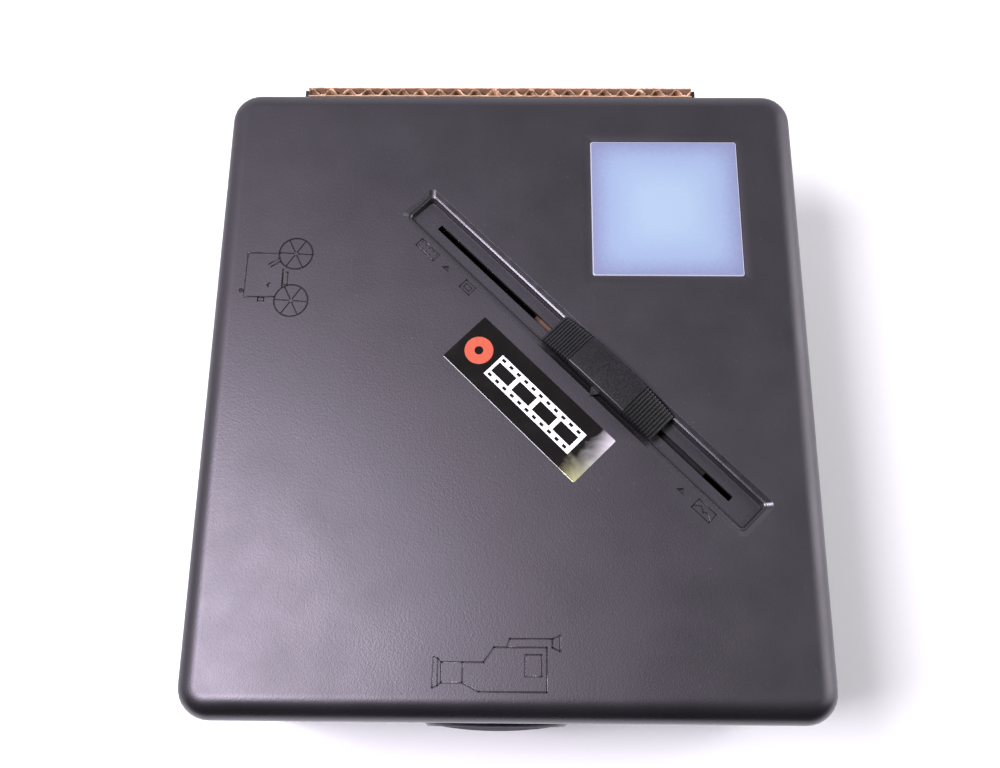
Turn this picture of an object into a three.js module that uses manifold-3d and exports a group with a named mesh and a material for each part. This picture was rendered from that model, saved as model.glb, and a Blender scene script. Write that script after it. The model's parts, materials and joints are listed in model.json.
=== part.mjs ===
// Film, slide and photo transfer box: a moulded case with a lens port at the front, a ground-glass
// screen at the left, a print holder at the back and a mirror on a diagonal slider between them.
// Millimetres, +Z up, front (camera side) at -Y, projector side at -X, resting on z = 0.
import * as THREE from 'three';
import { mergeVertices } from 'three/addons/utils/BufferGeometryUtils.js';
import Module from 'manifold-3d';

const wasm = await Module();
wasm.setup();

// ---- Driving dimensions ------------------------------------------------------------------
const CASE_WIDTH = 236;
const CASE_DEPTH = 254.6;
const CASE_TOP = 125;
const CASE_BOTTOM = 3.3;
const CASE_CORNER = 12;
const TOP_FILLET = 8.5;
const BOTTOM_FILLET = 4;
const WALL = 2.6;
const GAP = 0.3;
const SKIRT_HEIGHT = 18;
const FOOT_HEIGHT = 3;

// The lens axis (along Y) and the projector axis (along X) cross on the slider's line.
const LENS_X = -4.4;
const PROJECTOR_Y = 40.9;
const AXIS_Z = 62;

// The slider's channel in the cover runs at 45 degrees, from back left to front right.
const SLOT_FROM_AXES = 45;
const CHANNEL_LENGTH = 183.4;
const CHANNEL_WIDTH = 16.6;
const CHANNEL_DEPTH = 4.4;
const FLANK_WIDTH = 1.8;
const LEDGE_WIDTH = 1.1;
const LEDGE_DEPTH = 1;
const TRAY_WALL = 2;
const SLOT_LENGTH = 158.2;
const SLOT_WIDTH = 2.5;
const KNOB_REST = 14.2;

const KNOB_LENGTH = 57.2;
const KNOB_WIDTH = 13.8;
const KNOB_RISE = 6.5;
const KNOB_EDGE = 0.8;
const TONGUE_LENGTH = 26;

const FRAME_BACK = -39.5;
const FRAME_FRONT = 51.5;
const FRAME_PLATE = 3;
const MIRROR_LENGTH = 86;
const MIRROR_HEIGHT = 70;
const MIRROR_THICKNESS = 2.4;

const WINDOW_X = 63.4;
const WINDOW_Y = 72.5;
const WINDOW_SIZE = 60;
const BORDER_WIDTH = 4;
const BORDER_DEPTH = 0.9;

const SCREEN_WIDTH = 96;
const SCREEN_HEIGHT = 72;

const COLLAR_RADIUS = 28.6;
const COLLAR_STANDOUT = 1.6;
const LENS_RADIUS = 26.6;
const LENS_STANDOUT = 3.4;
const LENS_CURVE = 250;

const CARD_WIDTH = 164.2;
const CARD_THICKNESS = 4.2;
const CARD_TOP = CASE_TOP - 6;

const LABEL_LENGTH = 70.6;
const LABEL_WIDTH = 22.8;
const LABEL_SHIFT = -1.3;
const LABEL_OFFSET = -26.9;

// ---- Worked-out places -------------------------------------------------------------------
const HALF_WIDTH = CASE_WIDTH / 2;
const HALF_DEPTH = CASE_DEPTH / 2;
const COVER_UNDER = CASE_TOP - WALL;
const SKIRT_BOTTOM = CASE_TOP - SKIRT_HEIGHT;
const TUB_TOP = SKIRT_BOTTOM - GAP;
const FLOOR_TOP = CASE_BOTTOM + WALL;
const CHANNEL_FLOOR = CASE_TOP - CHANNEL_DEPTH;
const TRAY_UNDER = CHANNEL_FLOOR - TRAY_WALL;
const SLOT_X = LENS_X + SLOT_FROM_AXES * Math.SQRT1_2;
const SLOT_Y = PROJECTOR_Y - SLOT_FROM_AXES * Math.SQRT1_2;
const FLOOR_LENGTH = CHANNEL_LENGTH - 2 * (FLANK_WIDTH + LEDGE_WIDTH);
const FLOOR_WIDTH = CHANNEL_WIDTH - 2 * (FLANK_WIDTH + LEDGE_WIDTH);
const BAR_TOP = TRAY_UNDER - 0.5;
const BAR_HALF_WIDTH = 3.5;
const BAR_HEIGHT = 6.5;
const RAIL_TOP = 13;
const FRAME_CENTRE = (FRAME_BACK + FRAME_FRONT) / 2;
const POST_INSET = 14;
const FOOT_INSET = 34;

// Turned frame of the channel: local x runs along the slot to the front right, local y to the
// back right, and its origin is over the middle of the slot at z = 0.
const SLOT_FRAME = new THREE.Matrix4()
  .makeTranslation(SLOT_X, SLOT_Y, 0)
  .multiply(new THREE.Matrix4().makeRotationZ(-Math.PI / 4));

// ---- Shapes and booleans -----------------------------------------------------------------
function toSolid(geometry) {
  const bare = geometry.clone();
  bare.deleteAttribute('normal');
  bare.deleteAttribute('uv');
  const merged = mergeVertices(bare, 1e-4);
  const vertProperties = new Float32Array(merged.attributes.position.array);
  const triVerts = new Uint32Array(merged.index.array);
  return new wasm.Manifold(new wasm.Mesh({ numProp: 3, vertProperties, triVerts }));
}

function toGeometry(manifold) {
  const mesh = manifold.getMesh();
  const geometry = new THREE.BufferGeometry();
  geometry.setAttribute('position', new THREE.BufferAttribute(mesh.vertProperties, 3));
  geometry.setIndex(new THREE.BufferAttribute(mesh.triVerts, 1));
  geometry.computeVertexNormals();
  return geometry;
}

function join(...geometries) {
  return toGeometry(geometries.map(toSolid).reduce((sum, next) => sum.add(next)));
}

function cut(body, ...tools) {
  return toGeometry(tools.map(toSolid).reduce((rest, tool) => rest.subtract(tool), toSolid(body)));
}

function common(a, b) {
  return toGeometry(toSolid(a).intersect(toSolid(b)));
}

function block(x0, x1, y0, y1, z0, z1) {
  const geometry = new THREE.BoxGeometry(x1 - x0, y1 - y0, z1 - z0);
  return geometry.translate((x0 + x1) / 2, (y0 + y1) / 2, (z0 + z1) / 2);
}

function roundedRect(width, depth, radius) {
  const x = width / 2;
  const y = depth / 2;
  const shape = new THREE.Shape();
  shape.moveTo(-x + radius, -y);
  shape.lineTo(x - radius, -y);
  shape.absarc(x - radius, -y + radius, radius, -Math.PI / 2, 0);
  shape.lineTo(x, y - radius);
  shape.absarc(x - radius, y - radius, radius, 0, Math.PI / 2);
  shape.lineTo(-x + radius, y);
  shape.absarc(-x + radius, y - radius, radius, Math.PI / 2, Math.PI);
  shape.lineTo(-x, -y + radius);
  shape.absarc(-x + radius, -y + radius, radius, Math.PI, 1.5 * Math.PI);
  return shape;
}

function slab(shape, z0, z1, curveSegments = 6) {
  const settings = { depth: z1 - z0, bevelEnabled: false, curveSegments };
  return new THREE.ExtrudeGeometry(shape, settings).translate(0, 0, z0);
}

// A block whose upper and lower edges are rounded by the same fillet.
function filletedBlock(width, depth, corner, fillet, z0, z1) {
  const shape = roundedRect(width - 2 * fillet, depth - 2 * fillet, corner - fillet);
  const settings = {
    depth: z1 - z0 - 2 * fillet,
    bevelThickness: fillet,
    bevelSize: fillet,
    bevelSegments: 5,
    curveSegments: 6,
  };
  return new THREE.ExtrudeGeometry(shape, settings).translate(0, 0, z0 + fillet);
}

// A recess tool: straight walls up from the floor, a ledge all round, then a chamfer that opens
// out at the surface.
function chamferedRecess(length, width, corner, floor, surface, chamfer, chamferDepth, ledge = 0) {
  const ledgeShape = roundedRect(length + 2 * ledge, width + 2 * ledge, corner);
  const mouth = new THREE.ExtrudeGeometry(ledgeShape, {
    depth: 1,
    bevelThickness: chamferDepth,
    bevelSize: chamfer,
    bevelSegments: 1,
    curveSegments: 3,
  }).translate(0, 0, surface);
  return join(slab(roundedRect(length, width, corner), floor, surface, 3), mouth);
}

function rod(radius, z0, z1, x = 0, y = 0, sides = 16) {
  const geometry = new THREE.CylinderGeometry(radius, radius, z1 - z0, sides);
  return geometry.rotateX(Math.PI / 2).translate(x, y, (z0 + z1) / 2);
}

// A body of revolution about the lens axis: pairs of [radius, y].
function aboutLensAxis(profile, sides = 36) {
  const points = profile.map(([radius, y]) => new THREE.Vector2(radius, y));
  return new THREE.LatheGeometry(points, sides).translate(LENS_X, 0, AXIS_Z);
}

// A pan-head screw that points along +Z: the underside of its head is at z = 0.
function screwGeometry(length, shank = 1.2, head = 2.6, headHeight = 1.4, sides = 12) {
  const profile = [
    [0, -headHeight], [head * 0.8, -headHeight], [head, -headHeight / 2], [head, 0],
    [shank, 0], [shank, length], [0, length],
  ];
  const points = profile.map(([radius, y]) => new THREE.Vector2(radius, y));
  return new THREE.LatheGeometry(points, sides).rotateX(Math.PI / 2);
}

function corners(dx, dy) {
  return [[-dx, -dy], [dx, -dy], [dx, dy], [-dx, dy]];
}

// ---- Materials ---------------------------------------------------------------------------
const finishes = {
  case: { color: 0x4a4549, roughness: 0.55, metalness: 0 },
  blackPlastic: { color: 0x1d1c1f, roughness: 0.5, metalness: 0 },
  glossBlack: { color: 0x141419, roughness: 0.2, metalness: 0 },
  opal: { color: 0xb9cdee, roughness: 0.35, metalness: 0 },
  glass: { color: 0xdfe9ea, roughness: 0.05, metalness: 0 },
  groundGlass: { color: 0xd8dcdb, roughness: 0.7, metalness: 0 },
  mirror: { color: 0xe8ecef, roughness: 0.03, metalness: 1 },
  steel: { color: 0x9a9a98, roughness: 0.35, metalness: 1 },
  nylon: { color: 0xd9d5c8, roughness: 0.5, metalness: 0 },
  rubber: { color: 0x191a1e, roughness: 0.85, metalness: 0 },
  card: { color: 0xa98662, roughness: 0.9, metalness: 0 },
  foil: { color: 0x161415, roughness: 0.18, metalness: 0.2 },
};

const assembly = new THREE.Group();

function addPart(parent, name, geometry, finish) {
  const mesh = new THREE.Mesh(geometry, new THREE.MeshStandardMaterial(finishes[finish]));
  mesh.name = name;
  parent.add(mesh);
  return mesh;
}

// ---- Top cover ---------------------------------------------------------------------------
function coverShell() {
  const outer = filletedBlock(CASE_WIDTH, CASE_DEPTH, CASE_CORNER, TOP_FILLET, 40, CASE_TOP);
  const inner = filletedBlock(
    CASE_WIDTH - 2 * WALL, CASE_DEPTH - 2 * WALL, CASE_CORNER - WALL, TOP_FILLET - WALL, 40, COVER_UNDER,
  );
  const above = block(-HALF_WIDTH, HALF_WIDTH, -HALF_DEPTH, HALF_DEPTH, SKIRT_BOTTOM, CASE_TOP);
  return cut(common(outer, above), inner);
}

function channelTray() {
  const shape = roundedRect(CHANNEL_LENGTH + 2 * TRAY_WALL, CHANNEL_WIDTH + 2 * TRAY_WALL, 2);
  return slab(shape, TRAY_UNDER, COVER_UNDER + 1, 2).applyMatrix4(SLOT_FRAME);
}

// Two ribs under the cover keep the carriage's bar on its line, past both ends of the tray.
function guideRibs() {
  const inside = BAR_HALF_WIDTH + 0.5;
  return [-1, 1].map((side) => {
    const y0 = side > 0 ? inside : -inside - 1.6;
    const rib = block(-103, 117, y0, y0 + 1.6, TRAY_UNDER - 4.5, COVER_UNDER + 1);
    return rib.applyMatrix4(SLOT_FRAME);
  });
}

function buildCover() {
  const posts = corners(HALF_WIDTH - POST_INSET, HALF_DEPTH - POST_INSET).map(([x, y]) => (
    rod(4.5, 9.6, COVER_UNDER + 1, x, y, 16)
  ));
  const windowBosses = corners(34, 34).map(([x, y]) => (
    rod(2.8, 120.7, COVER_UNDER + 1, WINDOW_X + x, WINDOW_Y + y, 12)
  ));
  const whole = join(coverShell(), channelTray(), ...guideRibs(), ...posts, ...windowBosses);

  const recess = chamferedRecess(
    FLOOR_LENGTH, FLOOR_WIDTH, 1.2, CHANNEL_FLOOR, CASE_TOP, FLANK_WIDTH, LEDGE_DEPTH, LEDGE_WIDTH,
  );
  const slot = block(
    -SLOT_LENGTH / 2, SLOT_LENGTH / 2, -SLOT_WIDTH / 2, SLOT_WIDTH / 2, TRAY_UNDER - 1, CASE_TOP,
  );
  const opening = chamferedRecess(
    WINDOW_SIZE + 0.6, WINDOW_SIZE + 0.6, 0.8, 100, CASE_TOP, BORDER_WIDTH, BORDER_DEPTH,
  );
  const pilots = corners(HALF_WIDTH - POST_INSET, HALF_DEPTH - POST_INSET).map(([x, y]) => (
    rod(1.8, 5, 26, x, y, 10)
  ));
  const windowPilots = corners(34, 34).map(([x, y]) => (
    rod(1.3, 115, 123.6, WINDOW_X + x, WINDOW_Y + y, 8)
  ));
  return cut(
    whole,
    recess.applyMatrix4(SLOT_FRAME),
    slot.applyMatrix4(SLOT_FRAME),
    opening.translate(WINDOW_X, WINDOW_Y, 0),
    ...pilots,
    ...windowPilots,
  );
}

// ---- Base shell: a tub with a floor and four walls, open at the lens, screen and print -----
const PORT_WIDTH = SCREEN_WIDTH + 5;
const PORT_HEIGHT = SCREEN_HEIGHT + 5;
const PRINT_OPENING = 146;
const CARD_CENTRE = LENS_X - GAP;
const collarScrewPlaces = corners(26, 26).map(([x, z]) => [LENS_X + x, AXIS_Z + z]);

function buildBase() {
  const outer = common(
    filletedBlock(CASE_WIDTH, CASE_DEPTH, CASE_CORNER, BOTTOM_FILLET, CASE_BOTTOM, CASE_TOP),
    block(-HALF_WIDTH, HALF_WIDTH, -HALF_DEPTH, HALF_DEPTH, 0, TUB_TOP),
  );
  const hollow = slab(
    roundedRect(CASE_WIDTH - 2 * WALL, CASE_DEPTH - 2 * WALL, CASE_CORNER - WALL), FLOOR_TOP, CASE_TOP,
  );
  const inset = 2 * (WALL + GAP);
  const rim = cut(
    slab(roundedRect(CASE_WIDTH - WALL, CASE_DEPTH - WALL, CASE_CORNER - WALL / 2), TUB_TOP - 1.2, TUB_TOP),
    slab(roundedRect(CASE_WIDTH - inset - 4, CASE_DEPTH - inset - 4, CASE_CORNER - 5), 0, CASE_TOP),
  );
  const tongue = cut(
    slab(roundedRect(CASE_WIDTH - inset, CASE_DEPTH - inset, CASE_CORNER - 3), TUB_TOP - 1.2, TUB_TOP + 4),
    slab(roundedRect(CASE_WIDTH - inset - 4, CASE_DEPTH - inset - 4, CASE_CORNER - 5), 0, CASE_TOP),
  );
  const pads = corners(HALF_WIDTH - POST_INSET, HALF_DEPTH - POST_INSET).map(([x, y]) => (
    rod(7, CASE_BOTTOM + 1, 9.3, x, y, 16)
  ));
  const collarBosses = collarScrewPlaces.map(([x, z]) => (
    rod(3.2, -4.1, -1, 0, 0, 12).rotateX(Math.PI / 2).translate(x, -HALF_DEPTH, z)
  ));
  const collarPilots = collarScrewPlaces.map(([x, z]) => (
    rod(1.4, -8, -1.1, 0, 0, 8).rotateX(Math.PI / 2).translate(x, -HALF_DEPTH, z)
  ));
  const tub = join(cut(outer, hollow), rim, tongue, ...pads, ...collarBosses);

  const lensHole = rod(COLLAR_RADIUS + GAP, -30, 30, 0, 0, 36).rotateX(Math.PI / 2);
  const portHole = block(
    -HALF_WIDTH - 5, -HALF_WIDTH + 5,
    PROJECTOR_Y - PORT_WIDTH / 2, PROJECTOR_Y + PORT_WIDTH / 2,
    AXIS_Z - PORT_HEIGHT / 2, AXIS_Z + PORT_HEIGHT / 2,
  );
  const printHole = block(
    CARD_CENTRE - PRINT_OPENING / 2, CARD_CENTRE + PRINT_OPENING / 2,
    HALF_DEPTH - 5, HALF_DEPTH + 5, 14, 103.5,
  );
  const screwHoles = corners(HALF_WIDTH - POST_INSET, HALF_DEPTH - POST_INSET).flatMap(([x, y]) => [
    rod(1.8, 0, 20, x, y, 10),
    rod(3.6, 0, 6.3, x, y, 14),
  ]);
  return cut(
    tub,
    lensHole.translate(LENS_X, -HALF_DEPTH, AXIS_Z),
    portHole,
    printHole,
    ...screwHoles,
    ...collarPilots,
  );
}

addPart(assembly, 'top_cover', buildCover(), 'case');
addPart(assembly, 'base_shell', buildBase(), 'case');

corners(HALF_WIDTH - POST_INSET, HALF_DEPTH - POST_INSET).forEach(([x, y], index) => {
  const screw = addPart(assembly, `housing_screw_${index + 1}`, screwGeometry(16, 1.4, 3.1, 1.8), 'steel');
  screw.position.set(x, y, 6);
});

corners(HALF_WIDTH - FOOT_INSET, HALF_DEPTH - FOOT_INSET).forEach(([x, y], index) => {
  const profile = [[0, 0], [6.2, 0], [7.5, 1], [8, FOOT_HEIGHT], [0, FOOT_HEIGHT]];
  const points = profile.map(([radius, z]) => new THREE.Vector2(radius, z));
  const geometry = new THREE.LatheGeometry(points, 20).rotateX(Math.PI / 2);
  const foot = addPart(assembly, `rubber_foot_${index + 1}`, geometry, 'rubber');
  foot.position.set(x, y, 0);
});

// ---- Light window ------------------------------------------------------------------------
const WINDOW_FLANGE = WINDOW_SIZE + 5;
const RETAINER_TOP = 120.4;
const windowAssembly = new THREE.Group();
windowAssembly.position.set(WINDOW_X, WINDOW_Y, 0);
assembly.add(windowAssembly);

addPart(windowAssembly, 'light_window', join(
  slab(roundedRect(WINDOW_SIZE, WINDOW_SIZE, 1), 121, CASE_TOP - 0.8, 3),
  slab(roundedRect(WINDOW_FLANGE - 2, WINDOW_FLANGE - 2, 1), RETAINER_TOP + GAP, COVER_UNDER - GAP, 3),
), 'opal');

const retainerShape = roundedRect(76, 76, 4);
addPart(windowAssembly, 'window_retainer', cut(
  slab(retainerShape, RETAINER_TOP - 2, RETAINER_TOP, 3),
  slab(roundedRect(WINDOW_SIZE - 3, WINDOW_SIZE - 3, 2), 100, 130, 3),
  ...corners(34, 34).map(([x, y]) => rod(1.5, 100, 130, x, y, 10)),
), 'blackPlastic');

corners(34, 34).forEach(([x, y], index) => {
  const geometry = screwGeometry(4.5, 1, 2.2, 1.2);
  const screw = addPart(windowAssembly, `window_screw_${index + 1}`, geometry, 'steel');
  screw.position.set(x, y, RETAINER_TOP - 2 - GAP);
});

// ---- Label foil --------------------------------------------------------------------------
const fixedSlotFrame = new THREE.Group();
fixedSlotFrame.applyMatrix4(SLOT_FRAME);
assembly.add(fixedSlotFrame);

const label = slab(roundedRect(LABEL_LENGTH, LABEL_WIDTH, 0.4), 0, 0.3, 1)
  .translate(LABEL_SHIFT, LABEL_OFFSET, 0);
addPart(fixedSlotFrame, 'label_foil', label, 'foil').position.z = CASE_TOP + 0.06;

// ---- Lower guide rail --------------------------------------------------------------------
addPart(fixedSlotFrame, 'lower_guide_rail', cut(
  block(-107, 118, -4.8, 4.8, FLOOR_TOP + GAP, RAIL_TOP),
  block(-105, 116, -2.6, 2.6, FLOOR_TOP + GAP + 2, RAIL_TOP + 1),
), 'blackPlastic');

// ---- Mirror carriage ---------------------------------------------------------------------
// Origin of the carriage: the middle of the knob.
const carriage = new THREE.Group();
carriage.position.x = KNOB_REST;
fixedSlotFrame.add(carriage);

const TONGUE_BOTTOM = BAR_TOP - 5.2;
const KNOB_SCREW_Z = BAR_TOP - 2.8;
const KNOB_SCREW_X = [-8, 8];
const KEEL_LENGTH = 44;
const KEEL_WIDTH = FLOOR_WIDTH - 0.9;

function knobGeometry() {
  const half = KNOB_LENGTH / 2;
  const flat = half - 14;
  const under = CASE_TOP + GAP;
  const top = CASE_TOP + KNOB_RISE;
  const arch = new THREE.Shape();
  arch.moveTo(-half, under);
  arch.lineTo(half, under);
  arch.lineTo(half, under + KNOB_EDGE);
  arch.quadraticCurveTo(half - 9, top - 1, flat, top - 0.4);
  arch.quadraticCurveTo(0, top + 0.4, -flat, top - 0.4);
  arch.quadraticCurveTo(-half + 9, top - 1, -half, under + KNOB_EDGE);
  const body = new THREE.ExtrudeGeometry(arch, { depth: KNOB_WIDTH, bevelEnabled: false, curveSegments: 5 });
  body.rotateX(Math.PI / 2).translate(0, KNOB_WIDTH / 2, 0);
  const keel = block(
    -KEEL_LENGTH / 2, KEEL_LENGTH / 2, -KEEL_WIDTH / 2, KEEL_WIDTH / 2, CHANNEL_FLOOR + GAP, under + 0.4,
  );
  const tongue = block(
    -TONGUE_LENGTH / 2, TONGUE_LENGTH / 2, -1, 1, TONGUE_BOTTOM, CHANNEL_FLOOR + 1,
  );
  const pointer = new THREE.Shape();
  pointer.moveTo(-1.9, -KNOB_WIDTH / 2 + 1);
  pointer.lineTo(1.9, -KNOB_WIDTH / 2 + 1);
  pointer.lineTo(0, -KNOB_WIDTH / 2 - 2.7);
  const holes = KNOB_SCREW_X.map((x) => acrossBar(1.3, -10, 10, x));
  return cut(join(body, keel, tongue, slab(pointer, under, under + 0.9)), ...holes);
}

function acrossBar(radius, y0, y1, x) {
  return rod(radius, -y1, -y0, 0, 0, 10).rotateX(Math.PI / 2).translate(x, 0, KNOB_SCREW_Z);
}

// Bar, plate and foot are one moulding. The glass lies on the plate's -y face.
function frameGeometry() {
  const bar = block(
    FRAME_BACK, FRAME_FRONT, -BAR_HALF_WIDTH, BAR_HALF_WIDTH, BAR_TOP - BAR_HEIGHT, BAR_TOP,
  );
  const plate = block(FRAME_BACK, FRAME_FRONT, 0, FRAME_PLATE, 14, BAR_TOP - BAR_HEIGHT + 0.5);
  const foot = block(FRAME_BACK, FRAME_FRONT, -1.5, FRAME_PLATE, 14, 18);
  const pocket = block(
    -TONGUE_LENGTH / 2 - GAP, TONGUE_LENGTH / 2 + GAP, -1.3, 1.3, TONGUE_BOTTOM - GAP, BAR_TOP + 1,
  );
  const bevel = block(-6, 0, -10, 10, 0, 6).rotateY(Math.PI / 4).translate(FRAME_BACK, 0, BAR_TOP - 3.2);
  const holes = KNOB_SCREW_X.flatMap((x) => [acrossBar(1.3, -10, 2.9, x), acrossBar(2, -10, -2, x)]);
  return cut(join(bar, plate, foot), pocket, bevel, ...holes);
}

addPart(carriage, 'slider_knob', knobGeometry(), 'blackPlastic');
addPart(carriage, 'mirror_frame', frameGeometry(), 'blackPlastic');
addPart(carriage, 'mirror_glass', block(
  FRAME_CENTRE - MIRROR_LENGTH / 2, FRAME_CENTRE + MIRROR_LENGTH / 2,
  -GAP - MIRROR_THICKNESS, -GAP, AXIS_Z - MIRROR_HEIGHT / 2, AXIS_Z + MIRROR_HEIGHT / 2,
), 'mirror');

// A spring clip holds the glass at each corner: a foot on the plate, a riser and a lip.
function clipGeometry() {
  const front = -2 * GAP - MIRROR_THICKNESS;
  const clip = new THREE.Shape();
  clip.moveTo(-GAP, 0.4);
  clip.lineTo(-GAP, 6);
  clip.lineTo(-GAP - 0.6, 6);
  clip.lineTo(-GAP - 0.6, 1);
  clip.lineTo(front - 0.6, 1);
  clip.lineTo(front - 0.6, -3);
  clip.lineTo(front, -3);
  clip.lineTo(front, 0.4);
  const extruded = new THREE.ExtrudeGeometry(clip, { depth: 8, bevelEnabled: false });
  return extruded.rotateX(Math.PI / 2).rotateZ(Math.PI / 2).translate(-4, 0, 0);
}

corners(28, MIRROR_HEIGHT / 2).forEach(([x, z], index) => {
  const clip = clipGeometry();
  if (z < 0) {
    clip.rotateY(Math.PI);
  }
  addPart(carriage, `mirror_clip_${index + 1}`, clip, 'steel').position.set(FRAME_CENTRE + x, 0, AXIS_Z + z);
});

KNOB_SCREW_X.forEach((x, index) => {
  const geometry = screwGeometry(4.8, 1, 1.7, 1).rotateX(-Math.PI / 2);
  addPart(carriage, `knob_screw_${index + 1}`, geometry, 'steel').position.set(x, -2.3, KNOB_SCREW_Z);
});

[FRAME_BACK + 7, FRAME_FRONT - 7].forEach((x, index) => {
  const shoe = block(x - 6, x + 6, -2.2, 2.2, FLOOR_TOP + GAP + 2.3, 13.7);
  addPart(carriage, `guide_shoe_${index + 1}`, shoe, 'nylon');
});

// ---- Ground-glass screen in the left wall -------------------------------------------------
const FRAME_FACE = -HALF_WIDTH + GAP;
const FLANGE_FACE = -HALF_WIDTH + WALL + GAP;
const FLANGE_BACK = FLANGE_FACE + 2.2;

function screenRect(width, height, x0, x1) {
  return block(
    x0, x1, PROJECTOR_Y - width / 2, PROJECTOR_Y + width / 2, AXIS_Z - height / 2, AXIS_Z + height / 2,
  );
}

const screenPilots = corners(51, 39.5).map(([y, z]) => (
  rod(1.4, -20, 20, 0, 0, 8).rotateY(Math.PI / 2).translate(-HALF_WIDTH, PROJECTOR_Y + y, AXIS_Z + z)
));

addPart(assembly, 'projector_port', cut(
  join(
    screenRect(PORT_WIDTH - 2 * GAP, PORT_HEIGHT - 2 * GAP, FRAME_FACE, FLANGE_BACK - 0.5),
    screenRect(108, 82, FLANGE_FACE, FLANGE_BACK),
  ),
  screenRect(SCREEN_WIDTH, SCREEN_HEIGHT, -HALF_WIDTH - 5, 0),
  ...screenPilots,
), 'blackPlastic');

const GLASS_FACE = FLANGE_BACK + GAP;
addPart(assembly, 'ground_glass_screen', screenRect(100, 75, GLASS_FACE, GLASS_FACE + 2), 'groundGlass');

const RETAINER_FACE = GLASS_FACE + 2 + GAP;
addPart(assembly, 'screen_retainer', cut(
  join(
    screenRect(108, 82, RETAINER_FACE, RETAINER_FACE + 2),
    cut(screenRect(108, 82, GLASS_FACE, RETAINER_FACE + 1), screenRect(100.6, 75.6, -HALF_WIDTH, 0)),
  ),
  screenRect(SCREEN_WIDTH, SCREEN_HEIGHT, -HALF_WIDTH - 5, 0),
  ...screenPilots,
), 'blackPlastic');

corners(51, 39.5).forEach(([y, z], index) => {
  const geometry = screwGeometry(7.4, 1, 2, 1.1).rotateY(-Math.PI / 2);
  const screw = addPart(assembly, `screen_screw_${index + 1}`, geometry, 'steel');
  screw.position.set(RETAINER_FACE + 2 + GAP, PROJECTOR_Y + y, AXIS_Z + z);
});

// ---- Lens port in the front wall ----------------------------------------------------------
const COLLAR_FRONT = -HALF_DEPTH - COLLAR_STANDOUT;
const COLLAR_LIP = COLLAR_FRONT + 1;
const COLLAR_BACK = -HALF_DEPTH + 9;
const LENS_FRONT = -HALF_DEPTH - LENS_STANDOUT;
const LENS_BACK = -HALF_DEPTH + 3.4;
const LENS_RIM = LENS_RADIUS + 0.7;
const BORE = LENS_RIM + GAP;
const GASKET_FRONT = -HALF_DEPTH + WALL + GAP;
const FLANGE_FRONT = GASKET_FRONT + 1.2 + GAP;

// A tube through the front wall, with a flange behind the wall and a lip that the lens rests on.
const collar = aboutLensAxis([
  [LENS_RADIUS + GAP, COLLAR_FRONT],
  [COLLAR_RADIUS - 0.5, COLLAR_FRONT], [COLLAR_RADIUS, COLLAR_FRONT + 0.5],
  [COLLAR_RADIUS, FLANGE_FRONT], [41, FLANGE_FRONT], [41, FLANGE_FRONT + 2], [30, FLANGE_FRONT + 2],
  [30, COLLAR_BACK], [BORE, COLLAR_BACK], [BORE, COLLAR_LIP], [LENS_RADIUS + GAP, COLLAR_LIP],
  [LENS_RADIUS + GAP, COLLAR_FRONT],
]);
const collarHoles = collarScrewPlaces.map(([x, z]) => (
  rod(1.4, -20, 20, 0, 0, 10).rotateX(Math.PI / 2).translate(x, -HALF_DEPTH, z)
));
addPart(assembly, 'lens_port_collar', cut(collar, ...collarHoles), 'glossBlack');

collarScrewPlaces.forEach(([x, z], index) => {
  const geometry = screwGeometry(4.2, 1.1, 2.2, 1.2).rotateX(Math.PI / 2);
  const screw = addPart(assembly, `collar_screw_${index + 1}`, geometry, 'steel');
  screw.position.set(x, FLANGE_FRONT + 2 + GAP, z);
});

// A rubber gasket between the wall and the flange keeps light out.
addPart(assembly, 'light_seal_ring', aboutLensAxis([
  [COLLAR_RADIUS + 0.5, GASKET_FRONT], [33.2, GASKET_FRONT], [33.2, GASKET_FRONT + 1.2],
  [COLLAR_RADIUS + 0.5, GASKET_FRONT + 1.2], [COLLAR_RADIUS + 0.5, GASKET_FRONT],
]), 'rubber');

// A plano-convex close-up lens: its curved face stands out in front and its rim is behind the lip.
function closeUpLens() {
  const steps = 6;
  const points = [];
  for (let step = 0; step <= steps; step += 1) {
    const radius = (step / steps) * LENS_RADIUS;
    const drop = LENS_CURVE - Math.sqrt(LENS_CURVE ** 2 - radius ** 2);
    points.push([radius, LENS_FRONT + drop]);
  }
  points.push([LENS_RADIUS, COLLAR_LIP + GAP], [LENS_RIM, COLLAR_LIP + GAP]);
  points.push([LENS_RIM, LENS_BACK], [0, LENS_BACK]);
  return aboutLensAxis(points);
}

addPart(assembly, 'close_up_lens', closeUpLens(), 'glass');

// A threaded ring in the collar holds the lens against the lip from behind.
addPart(assembly, 'lens_retaining_ring', aboutLensAxis([
  [LENS_RADIUS - 2, LENS_BACK + GAP], [LENS_RIM, LENS_BACK + GAP], [LENS_RIM, LENS_BACK + 2.3],
  [LENS_RADIUS - 2, LENS_BACK + 2.3], [LENS_RADIUS - 2, LENS_BACK + GAP],
], 32), 'glossBlack');

// ---- Print holder on the back wall, with the card that stands in it -----------------------
const HOLDER_FACE = HALF_DEPTH + GAP;
const CARD_FACE = HOLDER_FACE + 0.2;
const LIP_FACE = CARD_FACE + CARD_THICKNESS + GAP;
const HOLDER_TOP = CARD_TOP - 5;
const HOLDER_BOTTOM = 9.3;

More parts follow.
